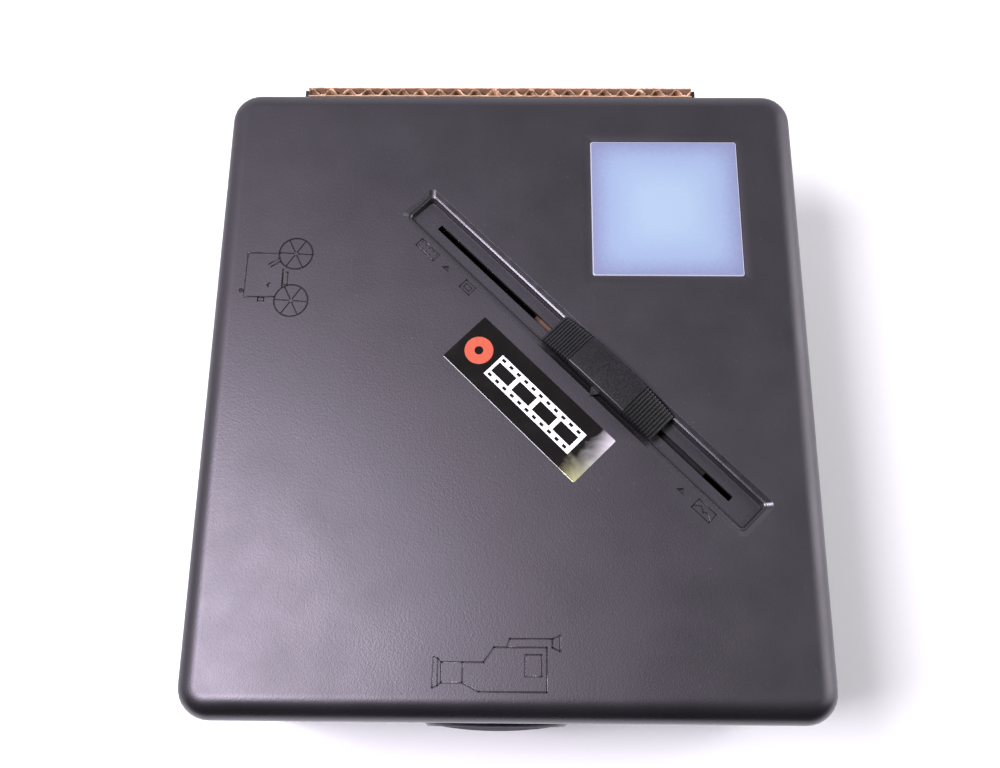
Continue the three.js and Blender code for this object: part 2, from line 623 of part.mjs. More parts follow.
function holderRail(side) {
  const inner = CARD_CENTRE + side * (CARD_WIDTH / 2 + GAP);
  const outer = inner + side * 2;
  const lip = inner - side * 4;
  const ear = outer + side * 8;
  const span = (a, b) => [Math.min(a, b), Math.max(a, b)];
  const [webStart, webEnd] = span(inner, outer);
  const [lipStart, lipEnd] = span(lip, outer);
  const pieces = [
    block(webStart, webEnd, HOLDER_FACE, LIP_FACE + 1.4, HOLDER_BOTTOM, HOLDER_TOP),
    block(lipStart, lipEnd, LIP_FACE, LIP_FACE + 1.4, HOLDER_BOTTOM, HOLDER_TOP - 4),
  ];
  const [earStart, earEnd] = span(inner, ear);
  [20, 96].forEach((z) => pieces.push(block(earStart, earEnd, HOLDER_FACE, HOLDER_FACE + 2, z - 5, z + 5)));
  return pieces;
}

const holderSpan = CARD_WIDTH / 2 + GAP + 2;
const holderScrewPlaces = corners(CARD_WIDTH / 2 + GAP + 6.2, 38).map(([x, z]) => [CARD_CENTRE + x, 58 + z]);
const holderPilots = holderScrewPlaces.map(([x, z]) => (
  rod(1.5, -4, 20, 0, 0, 8).rotateX(-Math.PI / 2).translate(x, HOLDER_FACE, z)
));
const ledge = block(
  CARD_CENTRE - holderSpan, CARD_CENTRE + holderSpan,
  HOLDER_FACE, LIP_FACE + 1.4, HOLDER_BOTTOM, HOLDER_BOTTOM + 2,
);
addPart(assembly, 'print_holder', cut(
  join(ledge, ...holderRail(-1), ...holderRail(1)),
  ...holderPilots,
), 'blackPlastic');

holderScrewPlaces.forEach(([x, z], index) => {
  const geometry = screwGeometry(2, 1.2, 2.6, 1.3).rotateX(Math.PI / 2);
  const screw = addPart(assembly, `print_holder_screw_${index + 1}`, geometry, 'steel');
  screw.position.set(x, HOLDER_FACE + 2 + GAP, z);
});

addPart(assembly, 'card_insert', block(
  CARD_CENTRE - CARD_WIDTH / 2, CARD_CENTRE + CARD_WIDTH / 2,
  CARD_FACE, CARD_FACE + CARD_THICKNESS, HOLDER_BOTTOM + 2 + GAP, CARD_TOP,
), 'card');

// The origin is under the middle of the whole object's box.
const frontMost = LENS_FRONT;
const backMost = LIP_FACE + 1.4;
assembly.position.y = -(frontMost + backMost) / 2;

export default assembly;
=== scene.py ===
"""Looks of the film, slide and photo transfer box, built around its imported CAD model. Metres, +Z up."""
import json
import math
import random

import bmesh
import bpy
from mathutils import Matrix, Vector


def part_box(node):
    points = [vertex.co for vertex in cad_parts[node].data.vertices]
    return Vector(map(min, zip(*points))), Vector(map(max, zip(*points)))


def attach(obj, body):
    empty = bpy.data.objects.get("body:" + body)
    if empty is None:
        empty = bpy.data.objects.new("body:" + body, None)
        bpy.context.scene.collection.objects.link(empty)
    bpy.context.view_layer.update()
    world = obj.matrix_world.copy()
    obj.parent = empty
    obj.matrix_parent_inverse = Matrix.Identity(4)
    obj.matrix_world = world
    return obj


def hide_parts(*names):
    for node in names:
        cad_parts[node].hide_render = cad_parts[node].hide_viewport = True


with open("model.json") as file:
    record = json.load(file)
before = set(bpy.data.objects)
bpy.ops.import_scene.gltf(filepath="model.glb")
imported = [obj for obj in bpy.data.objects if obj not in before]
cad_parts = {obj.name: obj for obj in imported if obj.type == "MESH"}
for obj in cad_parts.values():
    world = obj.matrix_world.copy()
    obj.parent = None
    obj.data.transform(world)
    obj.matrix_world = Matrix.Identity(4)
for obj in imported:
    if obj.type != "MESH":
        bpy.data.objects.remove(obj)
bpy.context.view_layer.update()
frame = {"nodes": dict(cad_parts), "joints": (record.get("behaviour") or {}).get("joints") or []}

MM = 0.001

# ---- Places, all taken from the frame
cover_low, cover_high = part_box("top_cover")
base_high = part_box("base_shell")[1]
window_low, window_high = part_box("light_window")
knob_low, knob_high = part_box("slider_knob")
label_low, label_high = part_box("label_foil")
card_low, card_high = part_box("card_insert")
collar_low, collar_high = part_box("lens_port_collar")


def middle(low, high, z):
    """The middle of a box seen from above, at height z."""
    return Vector(((low.x + high.x) / 2, (low.y + high.y) / 2, z))


TOP = cover_high.z
CASE_WIDTH = (cover_high.x - cover_low.x) / MM
CASE_DEPTH = (cover_high.y - cover_low.y) / MM
LEDGE = 4.0              # how far the base shell's outer ledge lies below its top
PARTING_GAP = 0.3        # the line that shows between that ledge and the cover's skirt
SKIRT_BOTTOM = base_high.z - LEDGE * MM + PARTING_GAP * MM
CASE_CENTRE = Vector((0.0, (cover_low.y + cover_high.y) / 2, 0.0))
KNOB_REST = 14.2         # from the slot's middle to the knob's, as in the photo
SLIDE_AXIS = Vector(next(j for j in frame["joints"] if j["name"] == "mirror_slide")["axis"]).normalized()
SLIDE_ACROSS = Vector((-SLIDE_AXIS.y, SLIDE_AXIS.x, 0.0))
SLIDE_TURN = math.atan2(SLIDE_AXIS.y, SLIDE_AXIS.x)
KNOB_CENTRE = middle(knob_low, knob_high, TOP)
SLOT_CENTRE = KNOB_CENTRE - SLIDE_AXIS * KNOB_REST * MM
WINDOW_CENTRE = middle(window_low, window_high, TOP)
LENS_CENTRE = Vector(((collar_low.x + collar_high.x) / 2, 0.0, (collar_low.z + collar_high.z) / 2))


def turned_frame(centre):
    """Millimetres: x along the slot to the front right, y to the back right, z up from the cover."""
    turn = Matrix((SLIDE_AXIS, SLIDE_ACROSS, Vector((0, 0, 1)))).transposed().to_4x4()
    return Matrix.Translation(centre) @ turn @ Matrix.Scale(MM, 4)


def straight_frame(centre):
    """Millimetres, along the row's axes."""
    return Matrix.Translation(centre) @ Matrix.Scale(MM, 4)


SLOT_FRAME = turned_frame(SLOT_CENTRE)
KNOB_FRAME = turned_frame(KNOB_CENTRE)
TOP_FRAME = straight_frame(Vector((0.0, CASE_CENTRE.y, TOP)))
WINDOW_FRAME = straight_frame(WINDOW_CENTRE)

# ---- Camera
CAMERA_PLACE = CASE_CENTRE + Vector((0.00109, -0.12423, TOP + 0.37707))
CAMERA_DEPRESSION = math.radians(72.236)
CAMERA_YAW = math.radians(2.094)
CAMERA_ROLL = math.radians(-1.679)
CAMERA_LENS = 37.14


def add_camera():
    data = bpy.data.cameras.new("camera")
    data.lens = CAMERA_LENS
    data.sensor_width = 36.0
    data.clip_start = 0.01
    camera = bpy.data.objects.new("camera", data)
    bpy.context.scene.collection.objects.link(camera)
    yaw = Matrix.Rotation(CAMERA_YAW, 3, "Z")
    forward = yaw @ Vector((0, math.cos(CAMERA_DEPRESSION), -math.sin(CAMERA_DEPRESSION)))
    level_up = yaw @ Vector((0, math.sin(CAMERA_DEPRESSION), math.cos(CAMERA_DEPRESSION)))
    level_right = yaw @ Vector((1, 0, 0))
    right = math.cos(CAMERA_ROLL) * level_right + math.sin(CAMERA_ROLL) * level_up
    up = math.cos(CAMERA_ROLL) * level_up - math.sin(CAMERA_ROLL) * level_right
    turn = Matrix((right, up, -forward)).transposed().to_4x4()
    camera.matrix_world = Matrix.Translation(CAMERA_PLACE) @ turn
    bpy.context.scene.camera = camera


def add_area_light(name, place, target, size, power, colour):
    data = bpy.data.lights.new(name, "AREA")
    data.shape = "RECTANGLE"
    data.size, data.size_y = size
    data.energy = power
    data.color = colour
    light = bpy.data.objects.new(name, data)
    bpy.context.scene.collection.objects.link(light)
    light.location = place
    light.rotation_euler = (Vector(target) - Vector(place)).to_track_quat("-Z", "Y").to_euler()


WORLD_FRONT = 0.03
WORLD_BACK = 1.4
WORLD_CEILING = 0.145


def add_node(tree, kind, inputs, **settings):
    """A new node: its settings, then its inputs, each a value or a socket to link from."""
    node = tree.nodes.new("ShaderNode" + kind)
    for name, value in settings.items():
        setattr(node, name, value)
    for socket, value in inputs.items():
        if isinstance(value, bpy.types.NodeSocket):
            tree.links.new(value, node.inputs[socket])
        else:
            node.inputs[socket].default_value = value
    return node


def map_range(tree, value, low, high, from_low=0.0, from_high=1.0):
    """The value's stretch between from_low and from_high, spread from low to high."""
    return add_node(tree, "MapRange", {
        "Value": value, "From Min": from_low, "From Max": from_high, "To Min": low, "To Max": high,
    }).outputs["Result"]


def set_world():
    """A dim ceiling over a bright back wall, with a darker room in front."""
    world = bpy.data.worlds.new("studio")
    world.use_nodes = True
    tree = world.node_tree
    sky = add_node(tree, "TexCoord", {}).outputs["Generated"]
    axes = add_node(tree, "SeparateXYZ", {"Vector": sky}).outputs
    wall = map_range(tree, axes["Y"], WORLD_FRONT, WORLD_BACK, -0.5, 0.9)
    ceiling = map_range(tree, axes["Z"], 0.0, 1.0, 0.4, 0.85)
    level = add_node(tree, "Mix", {"Factor": ceiling, "A": wall, "B": WORLD_CEILING})
    background = tree.nodes["Background"]
    background.inputs["Color"].default_value = (0.94, 0.92, 1.0, 1.0)
    tree.links.new(level.outputs["Result"], background.inputs["Strength"])
    bpy.context.scene.world = world
    bpy.context.scene.view_settings.view_transform = "Standard"
    bpy.context.scene.view_settings.look = "None"


# ---- Node materials
class Surface:
    """A Principled material with helpers for procedural detail in object space."""

    def __init__(self, name, colour, roughness, metallic=0.0):
        self.material = bpy.data.materials.new(name)
        self.material.use_nodes = True
        self.tree = self.material.node_tree
        self.shader = self.tree.nodes["Principled BSDF"]
        self.set(Base_Color=(*colour, 1.0), Roughness=roughness, Metallic=metallic)
        self.place = self.add("TexCoord", {}).outputs["Object"]

    def set(self, **values):
        for socket, value in values.items():
            self.shader.inputs[socket.replace("_", " ")].default_value = value

    def add(self, kind, inputs, **settings):
        return add_node(self.tree, kind, inputs, **settings)

    def mapped(self, scale=(1, 1, 1), turn=0.0, centre=(0, 0, 0)):
        """The place, turned about z; a longer scale makes detail longer that way."""
        inputs = {"Location": centre, "Rotation": (0, 0, turn), "Scale": scale, "Vector": self.place}
        return self.add("Mapping", inputs, vector_type="TEXTURE").outputs["Vector"]

    def axes(self, vector):
        return self.add("SeparateXYZ", {"Vector": vector}).outputs

    def noise(self, scale, detail=3.0, rough=0.5, distortion=0.0, vector=None):
        return self.add("TexNoise", {
            "Scale": scale, "Detail": detail, "Roughness": rough, "Distortion": distortion,
            "Vector": vector or self.place,
        }).outputs["Fac"]

    def ramp(self, value, stops):
        node = self.add("ValToRGB", {"Fac": value})
        elements = node.color_ramp.elements
        while len(elements) < len(stops):
            elements.new(0.5)
        for element, (position, colour) in zip(elements, stops):
            element.position = position
            element.color = (*colour, 1.0)
        return node.outputs["Color"]

    def spread(self, value, low, high, from_low=0.0, from_high=1.0):
        return map_range(self.tree, value, low, high, from_low, from_high)

    def combine(self, a, b, operation="ADD"):
        return self.add("Math", {0: a, 1: b}, operation=operation).outputs["Value"]

    def blend(self, factor, a, b):
        """Colour a where the factor is 0 and colour b where it is 1."""
        a, b = ((*value, 1.0) if isinstance(value, tuple) else value for value in (a, b))
        return self.add("Mix", {"Factor": factor, 6: a, 7: b}, data_type="RGBA").outputs[2]

    def colour(self, value):
        self.tree.links.new(value, self.shader.inputs["Base Color"])

    def mottle(self, noise, a, b, share=1.0, from_low=0.3, from_high=0.7):
        """Colour a, with a share of colour b coming in where the noise rises."""
        self.colour(self.blend(self.spread(noise, 0.0, share, from_low, from_high), a, b))

    def roughness(self, value):
        self.tree.links.new(value, self.shader.inputs["Roughness"])

    def rub(self, noise, low, high, from_low=0.3, from_high=0.7):
        """Roughness that goes from low to high where the noise rises."""
        self.roughness(self.spread(noise, low, high, from_low, from_high))

    def bump(self, height, distance, strength):
        node = self.add("Bump", {"Distance": distance, "Strength": strength, "Height": height})
        self.tree.links.new(node.outputs["Normal"], self.shader.inputs["Normal"])


def case_plastic():
    """Moulded ABS with a fine leather grain, a little dust and a soft sheen, smoother at the front."""
    s = Surface("case_plastic", (0.015, 0.014, 0.016), 0.5)
    s.set(Specular_IOR_Level=0.8, Specular_Tint=(0.95, 0.88, 1.0, 1.0))
    grain_place = s.mapped(scale=(1.0, 1.35, 1.0), turn=math.radians(-24))
    grain = s.noise(1350, detail=4, rough=0.6, distortion=0.3, vector=grain_place)
    pebbles = s.add("TexVoronoi", {"Scale": 1700, "Vector": grain_place}).outputs["Distance"]
    height = s.combine(grain, s.spread(pebbles, 0.0, 0.55))
    tone = s.ramp(s.noise(14, detail=4), [(0.3, (0.006, 0.0055, 0.0062)), (0.75, (0.0082, 0.0076, 0.0086))])
    mottled = s.blend(s.spread(grain, 0.0, 0.35, 0.35, 0.7), tone, (0.0145, 0.0135, 0.0155))
    s.mottle(s.noise(1500, detail=1), mottled, (0.2, 0.19, 0.18), 0.5, 0.79, 0.83)
    smooth_end, grained_from = cover_low.y + 3.5 * MM, cover_low.y + 9.5 * MM
    front = s.spread(s.axes(s.place)["Y"], 1.0, 0.0, smooth_end, grained_from)
    satin = s.spread(s.noise(45, detail=5), 0.42, 0.5, 0.25, 0.75)
    s.roughness(s.combine(satin, s.spread(front, 0.0, 0.17), "SUBTRACT"))
    s.bump(s.combine(height, s.spread(front, 1.0, 0.15), "MULTIPLY"), 0.00005, 0.75)
    return s.material


def smooth_case_plastic():
    """The same plastic where the mould was polished: no grain, faint flow marks and dust."""
    s = Surface("smooth_case_plastic", (0.012, 0.0115, 0.013), 0.26)
    s.set(Specular_IOR_Level=0.7, Specular_Tint=(0.95, 0.9, 1.0, 1.0))
    flow = s.ramp(s.noise(60, detail=4), [(0.3, (0.011, 0.0105, 0.012)), (0.75, (0.017, 0.016, 0.018))])
    s.mottle(s.noise(1700, detail=2), flow, (0.09, 0.085, 0.088), 0.15, 0.72, 0.85)
    s.rub(s.noise(240, detail=5, rough=0.6), 0.24, 0.3)
    s.bump(s.noise(1500, detail=2), 0.000004, 0.4)
    return s.material


def black_plastic():
    """Plain moulded black plastic: faint flow marks, fine texture and rubbed patches."""
    s = Surface("black_plastic", (0.012, 0.012, 0.014), 0.42)
    plain, rubbed = (0.012, 0.012, 0.014), (0.0388, 0.0388, 0.0436)
    s.mottle(s.noise(160, detail=5, rough=0.6), plain, rubbed, 0.48, 0.45, 0.75)
    s.rub(s.noise(220, detail=4), 0.32, 0.52)
    s.bump(s.noise(2600, detail=3), 0.00003, 0.5)
    return s.material


def carriage_plastic():
    """Black moulding whose colour is painted darker than the other black plastics, painted shade for the
    shadow of the slot's walls; towards its back-left end it turns lighter and brown.
    """
    # Painted shade: a base colour darker than the plain black plastic's, for the slot walls' shadow.
    s = Surface("carriage_plastic", (0.005, 0.0045, 0.005), 0.5)
    s.set(Specular_IOR_Level=0.25)
    fade_length, fade_start = 0.02, KNOB_REST - 39.5
    end = SLOT_CENTRE + SLIDE_AXIS * fade_start * MM
    along = s.axes(s.mapped((fade_length, fade_length, fade_length), SLIDE_TURN, tuple(end)))["X"]
    wisps = s.spread(s.noise(300, detail=4), -0.15, 0.15)
    # Lighter and brown towards the back-left end, with ragged edges from noise.
    brown_towards_end = s.spread(s.combine(along, wisps), 1.0, 0.0, 0.45, 0.95)
    s.colour(s.blend(brown_towards_end, (0.005, 0.0045, 0.005), (0.1, 0.058, 0.04)))
    s.rub(s.noise(220, detail=4), 0.38, 0.55)
    s.bump(s.noise(2600, detail=3), 0.00003, 0.5)
    return s.material


def knob_plastic():
    """Satin black with a scuffed, dusty bloom where fingers rub."""
    s = Surface("knob_plastic", (0.012, 0.012, 0.015), 0.4)
    s.set(Specular_IOR_Level=0.36)
    scuffs = s.noise(1500, detail=5, rough=0.7)
    bloom = s.spread(s.noise(110, detail=3), 0.2, 1.0, 0.3, 0.7)
    patch = s.combine(s.spread(scuffs, 0.0, 1.0, 0.42, 0.68), bloom, "MULTIPLY")
    s.colour(s.blend(patch, (0.0055, 0.0053, 0.0062), (0.019, 0.0185, 0.0205)))
    s.rub(scuffs, 0.34, 0.46)
    s.bump(s.noise(2200, detail=4), 0.00004, 0.6)
    return s.material


def opal_acrylic():
    """Milky acrylic with a little subsurface scattering; its colour is painted brighter in the middle than at
    the rim, a painted glow for light scattered through it.
    """
    s = Surface("opal_acrylic", (0.2, 0.26, 0.36), 0.3)
    s.set(Subsurface_Weight=0.1, Subsurface_Scale=0.003, IOR=1.49)
    half = (window_high.x - window_low.x) / 2
    centred = s.axes(s.mapped(scale=(half, half, 1.0), centre=tuple(WINDOW_CENTRE)))
    across, along = (s.combine(centred[axis], 0.0, "ABSOLUTE") for axis in ("X", "Y"))
    rim = s.combine(across, along, "SMOOTH_MAX")
    rim.node.inputs[2].default_value = 0.45
    cloud = s.spread(s.noise(800, detail=3), -0.07, 0.07)
    # Painted glow: the colour ramps from bright in the middle to darker at the rim.
    s.colour(s.ramp(
        s.combine(rim, cloud),
        [(0.3, (0.27, 0.355, 0.46)), (0.72, (0.226, 0.29, 0.42)), (0.97, (0.172, 0.188, 0.305))],
    ))
    s.rub(s.noise(900, detail=4), 0.3, 0.36)
    s.bump(s.noise(1300, detail=3), 0.00003, 0.4)
    return s.material


def opal_rim():
    """The pane's polished edge, its colour painted light grey: a painted highlight where the rounded edge
    catches light.
    """
    # Painted highlight: light grey base colour on the pane's rim.
    s = Surface("opal_rim", (0.42, 0.43, 0.5), 0.24)
    s.set(IOR=1.49)
    s.mottle(s.noise(500, detail=3), (0.46, 0.47, 0.54), (0.34, 0.35, 0.43), 0.6, 0.0, 1.0)
    s.rub(s.noise(700, detail=3), 0.2, 0.3, 0.0, 1.0)
    s.bump(s.noise(1800, detail=2), 0.00001, 0.3)
    return s.material


def cardboard(name, dark, light, blotch):
    """Brown kraft board: long fibres, pale blotches and a soft surface."""
    s = Surface(name, light, 0.85)
    s.set(Specular_IOR_Level=0.2)
    fibres = s.noise(700, detail=6, rough=0.7, vector=s.mapped(scale=(5.0, 5.0, 0.6)))
    tone = s.blend(s.spread(fibres, 0.0, 1.0, 0.3, 0.7), dark, light)
    pale = tuple(min(1.0, c * 1.6 + 0.03) for c in light)
    s.mottle(s.noise(210, detail=4), tone, pale, blotch, 0.5, 0.62)
    s.bump(s.combine(fibres, s.noise(2500, detail=2)), 0.00008, 0.7)
    return s.material


def label_black():
    """Black ink over metallised foil, with a painted reflection: towards the front-right end the colour fades
    from black to gold, grey and pinkish-white tints, for light the foil reflects there.
    """
    s = Surface("label_black", (0.012, 0.01, 0.01), 0.16, 0.3)
    s.set(Coat_Weight=0.15, Coat_Roughness=0.08)
    half_size = (0.035, 0.0112, 1.0)
    place = s.axes(s.mapped(half_size, SLIDE_TURN, tuple((label_low + label_high) / 2)))
    wisps = s.spread(s.noise(70, detail=4, distortion=1.0), -0.18, 0.18)
    # Painted reflection: a ragged fade towards the label's front-right end.
    painted_reflection_fade = s.spread(s.combine(place["X"], wisps), 0.0, 1.0, 0.78, 1.04)
    # The painted reflection's tints across the label: gold, grey, pinkish white.
    painted_reflection_tint = s.ramp(
        s.spread(place["Y"], 0.0, 1.0, -1.0, 1.0),
        [(0.1, (0.46, 0.45, 0.24)), (0.5, (0.4, 0.39, 0.38)), (0.9, (0.85, 0.79, 0.85))],
    )
    s.colour(s.blend(painted_reflection_fade, (0.009, 0.0075, 0.0075), painted_reflection_tint))
    s.rub(s.noise(120, detail=4), 0.12, 0.24)
    s.bump(s.noise(180, detail=2), 0.00008, 0.25)
    return s.material


def printed_ink(name, colour):
    """Screen-printed ink: slightly uneven, satin."""
    s = Surface(name, colour, 0.4)
    darker = tuple(c * 0.82 for c in colour)
    s.mottle(s.noise(600, detail=4), colour, darker, 0.8, 0.4, 0.7)
    s.rub(s.noise(300, detail=3), 0.34, 0.5, 0.0, 1.0)
    s.bump(s.noise(3000, detail=2), 0.00001, 0.4)
    return s.material


def foil_edge():
    s = Surface("foil_edge", (0.8, 0.8, 0.82), 0.25, 1.0)
    s.rub(s.noise(900, detail=3), 0.2, 0.4, 0.0, 1.0)
    s.bump(s.noise(2600, detail=2), 0.00002, 0.4)
    return s.material


def gloss_black():
    s = Surface("gloss_black", (0.008, 0.008, 0.013), 0.26)
    s.set(Specular_IOR_Level=0.25)
    smudges = s.noise(90, detail=5, rough=0.6)
    s.mottle(smudges, (0.008, 0.008, 0.013), (0.03, 0.03, 0.036), 0.4, 0.5, 0.75)
    s.rub(smudges, 0.22, 0.36)
    s.bump(s.noise(1500, detail=2), 0.00001, 0.3)
    return s.material


def rubber():
    s = Surface("rubber", (0.014, 0.014, 0.02), 0.62)
    bloom = s.noise(240, detail=5, rough=0.65)
    s.mottle(bloom, (0.012, 0.012, 0.018), (0.04, 0.04, 0.046), 0.6, 0.45, 0.75)
    s.rub(bloom, 0.5, 0.72)
    s.bump(s.noise(1900, detail=4), 0.00006, 0.7)
    return s.material


def zinc_steel():
    s = Surface("zinc_steel", (0.52, 0.52, 0.5), 0.34, 1.0)
    grain = s.noise(900, detail=5, rough=0.6, vector=s.mapped(scale=(1.0, 1.0, 6.0)))
    s.mottle(grain, (0.4, 0.4, 0.385), (0.62, 0.62, 0.6))
    s.rub(grain, 0.25, 0.45)
    s.bump(grain, 0.00002, 0.5)
    return s.material


def nylon():
    s = Surface("nylon", (0.62, 0.59, 0.5), 0.45)
    s.set(Subsurface_Weight=0.1, Subsurface_Scale=0.002)
    s.mottle(s.noise(150, detail=4), (0.55, 0.52, 0.44), (0.68, 0.65, 0.57))
    s.rub(s.noise(400, detail=3), 0.36, 0.55, 0.0, 1.0)
    s.bump(s.noise(1800, detail=3), 0.00004, 0.5)
    return s.material


def mirror_coat():
    """Silvered glass with a little dust."""
    s = Surface("mirror_coat", (0.86, 0.88, 0.9), 0.02, 1.0)
    s.mottle(s.noise(1800, detail=1), (0.86, 0.88, 0.9), (0.5, 0.5, 0.5), 0.3, 0.72, 0.8)
    s.rub(s.noise(120, detail=4), 0.01, 0.06)
    s.bump(s.noise(60, detail=2), 0.000005, 0.2)
    return s.material


def clear_glass():
    """The close-up lens: coated glass given an opaque, nearly black colour, painted shade for the dark
    chamber behind it.
    """
    # Painted shade: near-black opaque colour in place of seeing the dark chamber through clear glass.
    s = Surface("clear_glass", (0.016, 0.013, 0.026), 0.1)
    s.set(Specular_IOR_Level=0.0, Coat_Weight=0.14, Coat_Roughness=0.05, Coat_Tint=(0.8, 0.7, 1.0, 1.0))
    s.mottle(s.noise(160, detail=4), (0.016, 0.013, 0.026), (0.03, 0.028, 0.045), 0.5, 0.4, 0.8)
    s.rub(s.noise(100, detail=3), 0.08, 0.16, 0.4, 0.8)
    s.bump(s.noise(50, detail=2), 0.000004, 0.2)
    return s.material


def ground_glass():
    """The projector port's frosted screen."""
    s = Surface("ground_glass", (0.86, 0.88, 0.88), 0.6)
    s.set(Transmission_Weight=0.55, IOR=1.5)
    s.mottle(s.noise(2200, detail=3), (0.8, 0.82, 0.82), (0.92, 0.93, 0.93))
    s.rub(s.noise(1400, detail=4), 0.5, 0.75, 0.0, 1.0)
    s.bump(s.noise(3200, detail=3), 0.00004, 0.8)
    return s.material


FINISH = {
    "case": case_plastic(),
    "smooth_case": smooth_case_plastic(),
    "black": black_plastic(),
    "bar": carriage_plastic(),
    "knob": knob_plastic(),
    "opal": opal_acrylic(),
    "opal_rim": opal_rim(),
    "liner": cardboard("card_liner", (0.32, 0.19, 0.125), (0.5, 0.33, 0.225), 0.14),
    "flute": cardboard("card_flute", (0.19, 0.09, 0.055), (0.52, 0.335, 0.215), 1.0),
    "label": label_black(),
    "white_ink": printed_ink("white_ink", (0.85, 0.85, 0.85)),
    "orange_ink": printed_ink("orange_ink", (0.46, 0.075, 0.035)),
    "foil_edge": foil_edge(),
    "gloss": gloss_black(),
    "rubber": rubber(),
    "steel": zinc_steel(),
    "nylon": nylon(),
    "mirror": mirror_coat(),
    "glass": clear_glass(),
    "ground": ground_glass(),
}


# ---- Mesh tools
def mesh_object(name, points, faces, place, *materials):
    """Points in millimetres in the place's frame."""
    mesh = bpy.data.meshes.new(name)
    mesh.from_pydata([place @ Vector(p) for p in points], [], faces)
    mesh.validate()
    tidy = bmesh.new()
    tidy.from_mesh(mesh)
    bmesh.ops.recalc_face_normals(tidy, faces=tidy.faces)
    tidy.to_mesh(mesh)
    tidy.free()
    thing = bpy.data.objects.new(name, mesh)
    bpy.context.scene.collection.objects.link(thing)
    for material in materials:
        mesh.materials.append(FINISH[material])
    return thing


def loft(rings, caps=True, closed=False):
    """Points and faces of a skin over rings that all have the same number of points."""
    count = len(rings[0])
    points = [p for ring in rings for p in ring]
    faces = []
    pairs = [(k, k + 1) for k in range(len(rings) - 1)]
    if closed:
        pairs.append((len(rings) - 1, 0))
    for low, high in pairs:
        for i in range(count):
            j = (i + 1) % count
            faces.append((low * count + i, low * count + j, high * count + j, high * count + i))
    if caps and not closed:
        faces.append(tuple(reversed(range(count))))
        faces.append(tuple((len(rings) - 1) * count + i for i in range(count)))
    return points, faces


def rounded_loop(width, depth, corner, z, steps=8):
    points = []
    x, y = width / 2 - corner, depth / 2 - corner
    for cx, cy, start in ((x, y, 0), (-x, y, 90), (-x, -y, 180), (x, -y, 270)):
        for i in range(steps + 1):
            angle = math.radians(start + 90 * i / steps)
            points.append((cx + corner * math.cos(angle), cy + corner * math.sin(angle), z))
    return points


def circle(x, y, radius, z, sides):
    angles = [math.tau * i / sides for i in range(sides)]
    return [(x + radius * math.cos(angle), y + radius * math.sin(angle), z) for angle in angles]


def rectangle(x0, y0, x1, y1):
    return [(x0, y0), (x1, y0), (x1, y1), (x0, y1)]


def about(x, y, half_width, half_height):
    """A rectangle about a point."""
    return rectangle(x - half_width, y - half_height, x + half_width, y + half_height)


def flat_raised(points, low, high):
    return loft([[(x, y, z) for x, y in points] for z in (low, high)])


def box_data(low, high):
    x0, y0, z0 = low
    x1, y1, z1 = high
    points = [(x, y, z) for z in (z0, z1) for y in (y0, y1) for x in (x0, x1)]
    faces = [(0, 2, 3, 1), (4, 5, 7, 6), (0, 1, 5, 4), (2, 6, 7, 3), (0, 4, 6, 2), (1, 3, 7, 5)]
    return points, faces


def merged(*parts):
    """One set of points and faces from several closed shells."""
    points, faces = [], []
    for part_points, part_faces in parts:
        shift = len(points)
        points += part_points
        faces += [tuple(i + shift for i in face) for face in part_faces]
    return points, faces


def evaluated_mesh(thing):
    bpy.context.view_layer.update()
    graph = bpy.context.evaluated_depsgraph_get()
    mesh = bpy.data.meshes.new_from_object(thing.evaluated_get(graph), depsgraph=graph)
    old = thing.data
    thing.modifiers.clear()
    thing.data = mesh
    bpy.data.meshes.remove(old)
    return thing


def boolean(thing, tool, operation="DIFFERENCE"):
    modifier = thing.modifiers.new("join_or_cut", "BOOLEAN")
    modifier.operation = operation
    modifier.solver = "EXACT"
    modifier.use_self = True
    modifier.object = tool
    evaluated_mesh(thing)
    bpy.data.objects.remove(tool)
    return thing


def smoothed(thing, angle=32, bevel=0.0):
    """Rounds sharp edges by bevel millimetres and shades flat faces flat and round ones round."""
    if bevel:
        modifier = thing.modifiers.new("edges", "BEVEL")
        modifier.width = bevel * MM
        modifier.segments = 2
        modifier.limit_method = "ANGLE"
        modifier.angle_limit = math.radians(40)
        modifier.harden_normals = False
        evaluated_mesh(thing)
    thing.data.shade_smooth()
    thing.data.set_sharp_from_angle(angle=math.radians(angle))
    weighted = thing.modifiers.new("normals", "WEIGHTED_NORMAL")
    weighted.keep_sharp = True
    weighted.weight = 80
    return evaluated_mesh(thing)


def finish_piece(thing, body, slot, *nodes):
    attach(thing, body)
    if nodes:
        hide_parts(*nodes)
    return thing


def axis_frame(start, axis):
    """Millimetres, with z along the axis."""
    turn = Vector((0, 0, 1)).rotation_difference(Vector(axis)).to_matrix().to_4x4()
    return Matrix.Translation(start) @ turn @ Matrix.Scale(MM, 4)


def lathe(name, profile, centre, axis, material, sides=96):
    """A closed profile of (radius, distance along the axis) in millimetres, turned about the axis."""
    on_axis = profile[0][0] == 0 and profile[-1][0] == 0
    inner = profile[1:-1] if on_axis else profile
    rings = [circle(0.0, 0.0, radius, along, sides) for radius, along in inner]
    points, faces = loft(rings, caps=False, closed=not on_axis)
    if on_axis:
        for ring, along, flip in ((0, profile[0][1], True), (len(rings) - 1, profile[-1][1], False)):
            points.append((0.0, 0.0, along))
            for i in range(sides):
                j = (i + 1) % sides
                a, b = ring * sides + i, ring * sides + j
                faces.append((len(points) - 1, b, a) if flip else (len(points) - 1, a, b))
    return mesh_object(name, points, faces, axis_frame(centre, axis), material)


def add_turned(node, name, profile, centre, axis, finish, slot, sides=96):
    """A turned piece of the housing in a CAD node's place."""
    piece = lathe(name, profile, centre, axis, finish, sides)
    smoothed(piece, angle=40)
    return finish_piece(piece, "housing", slot, node)


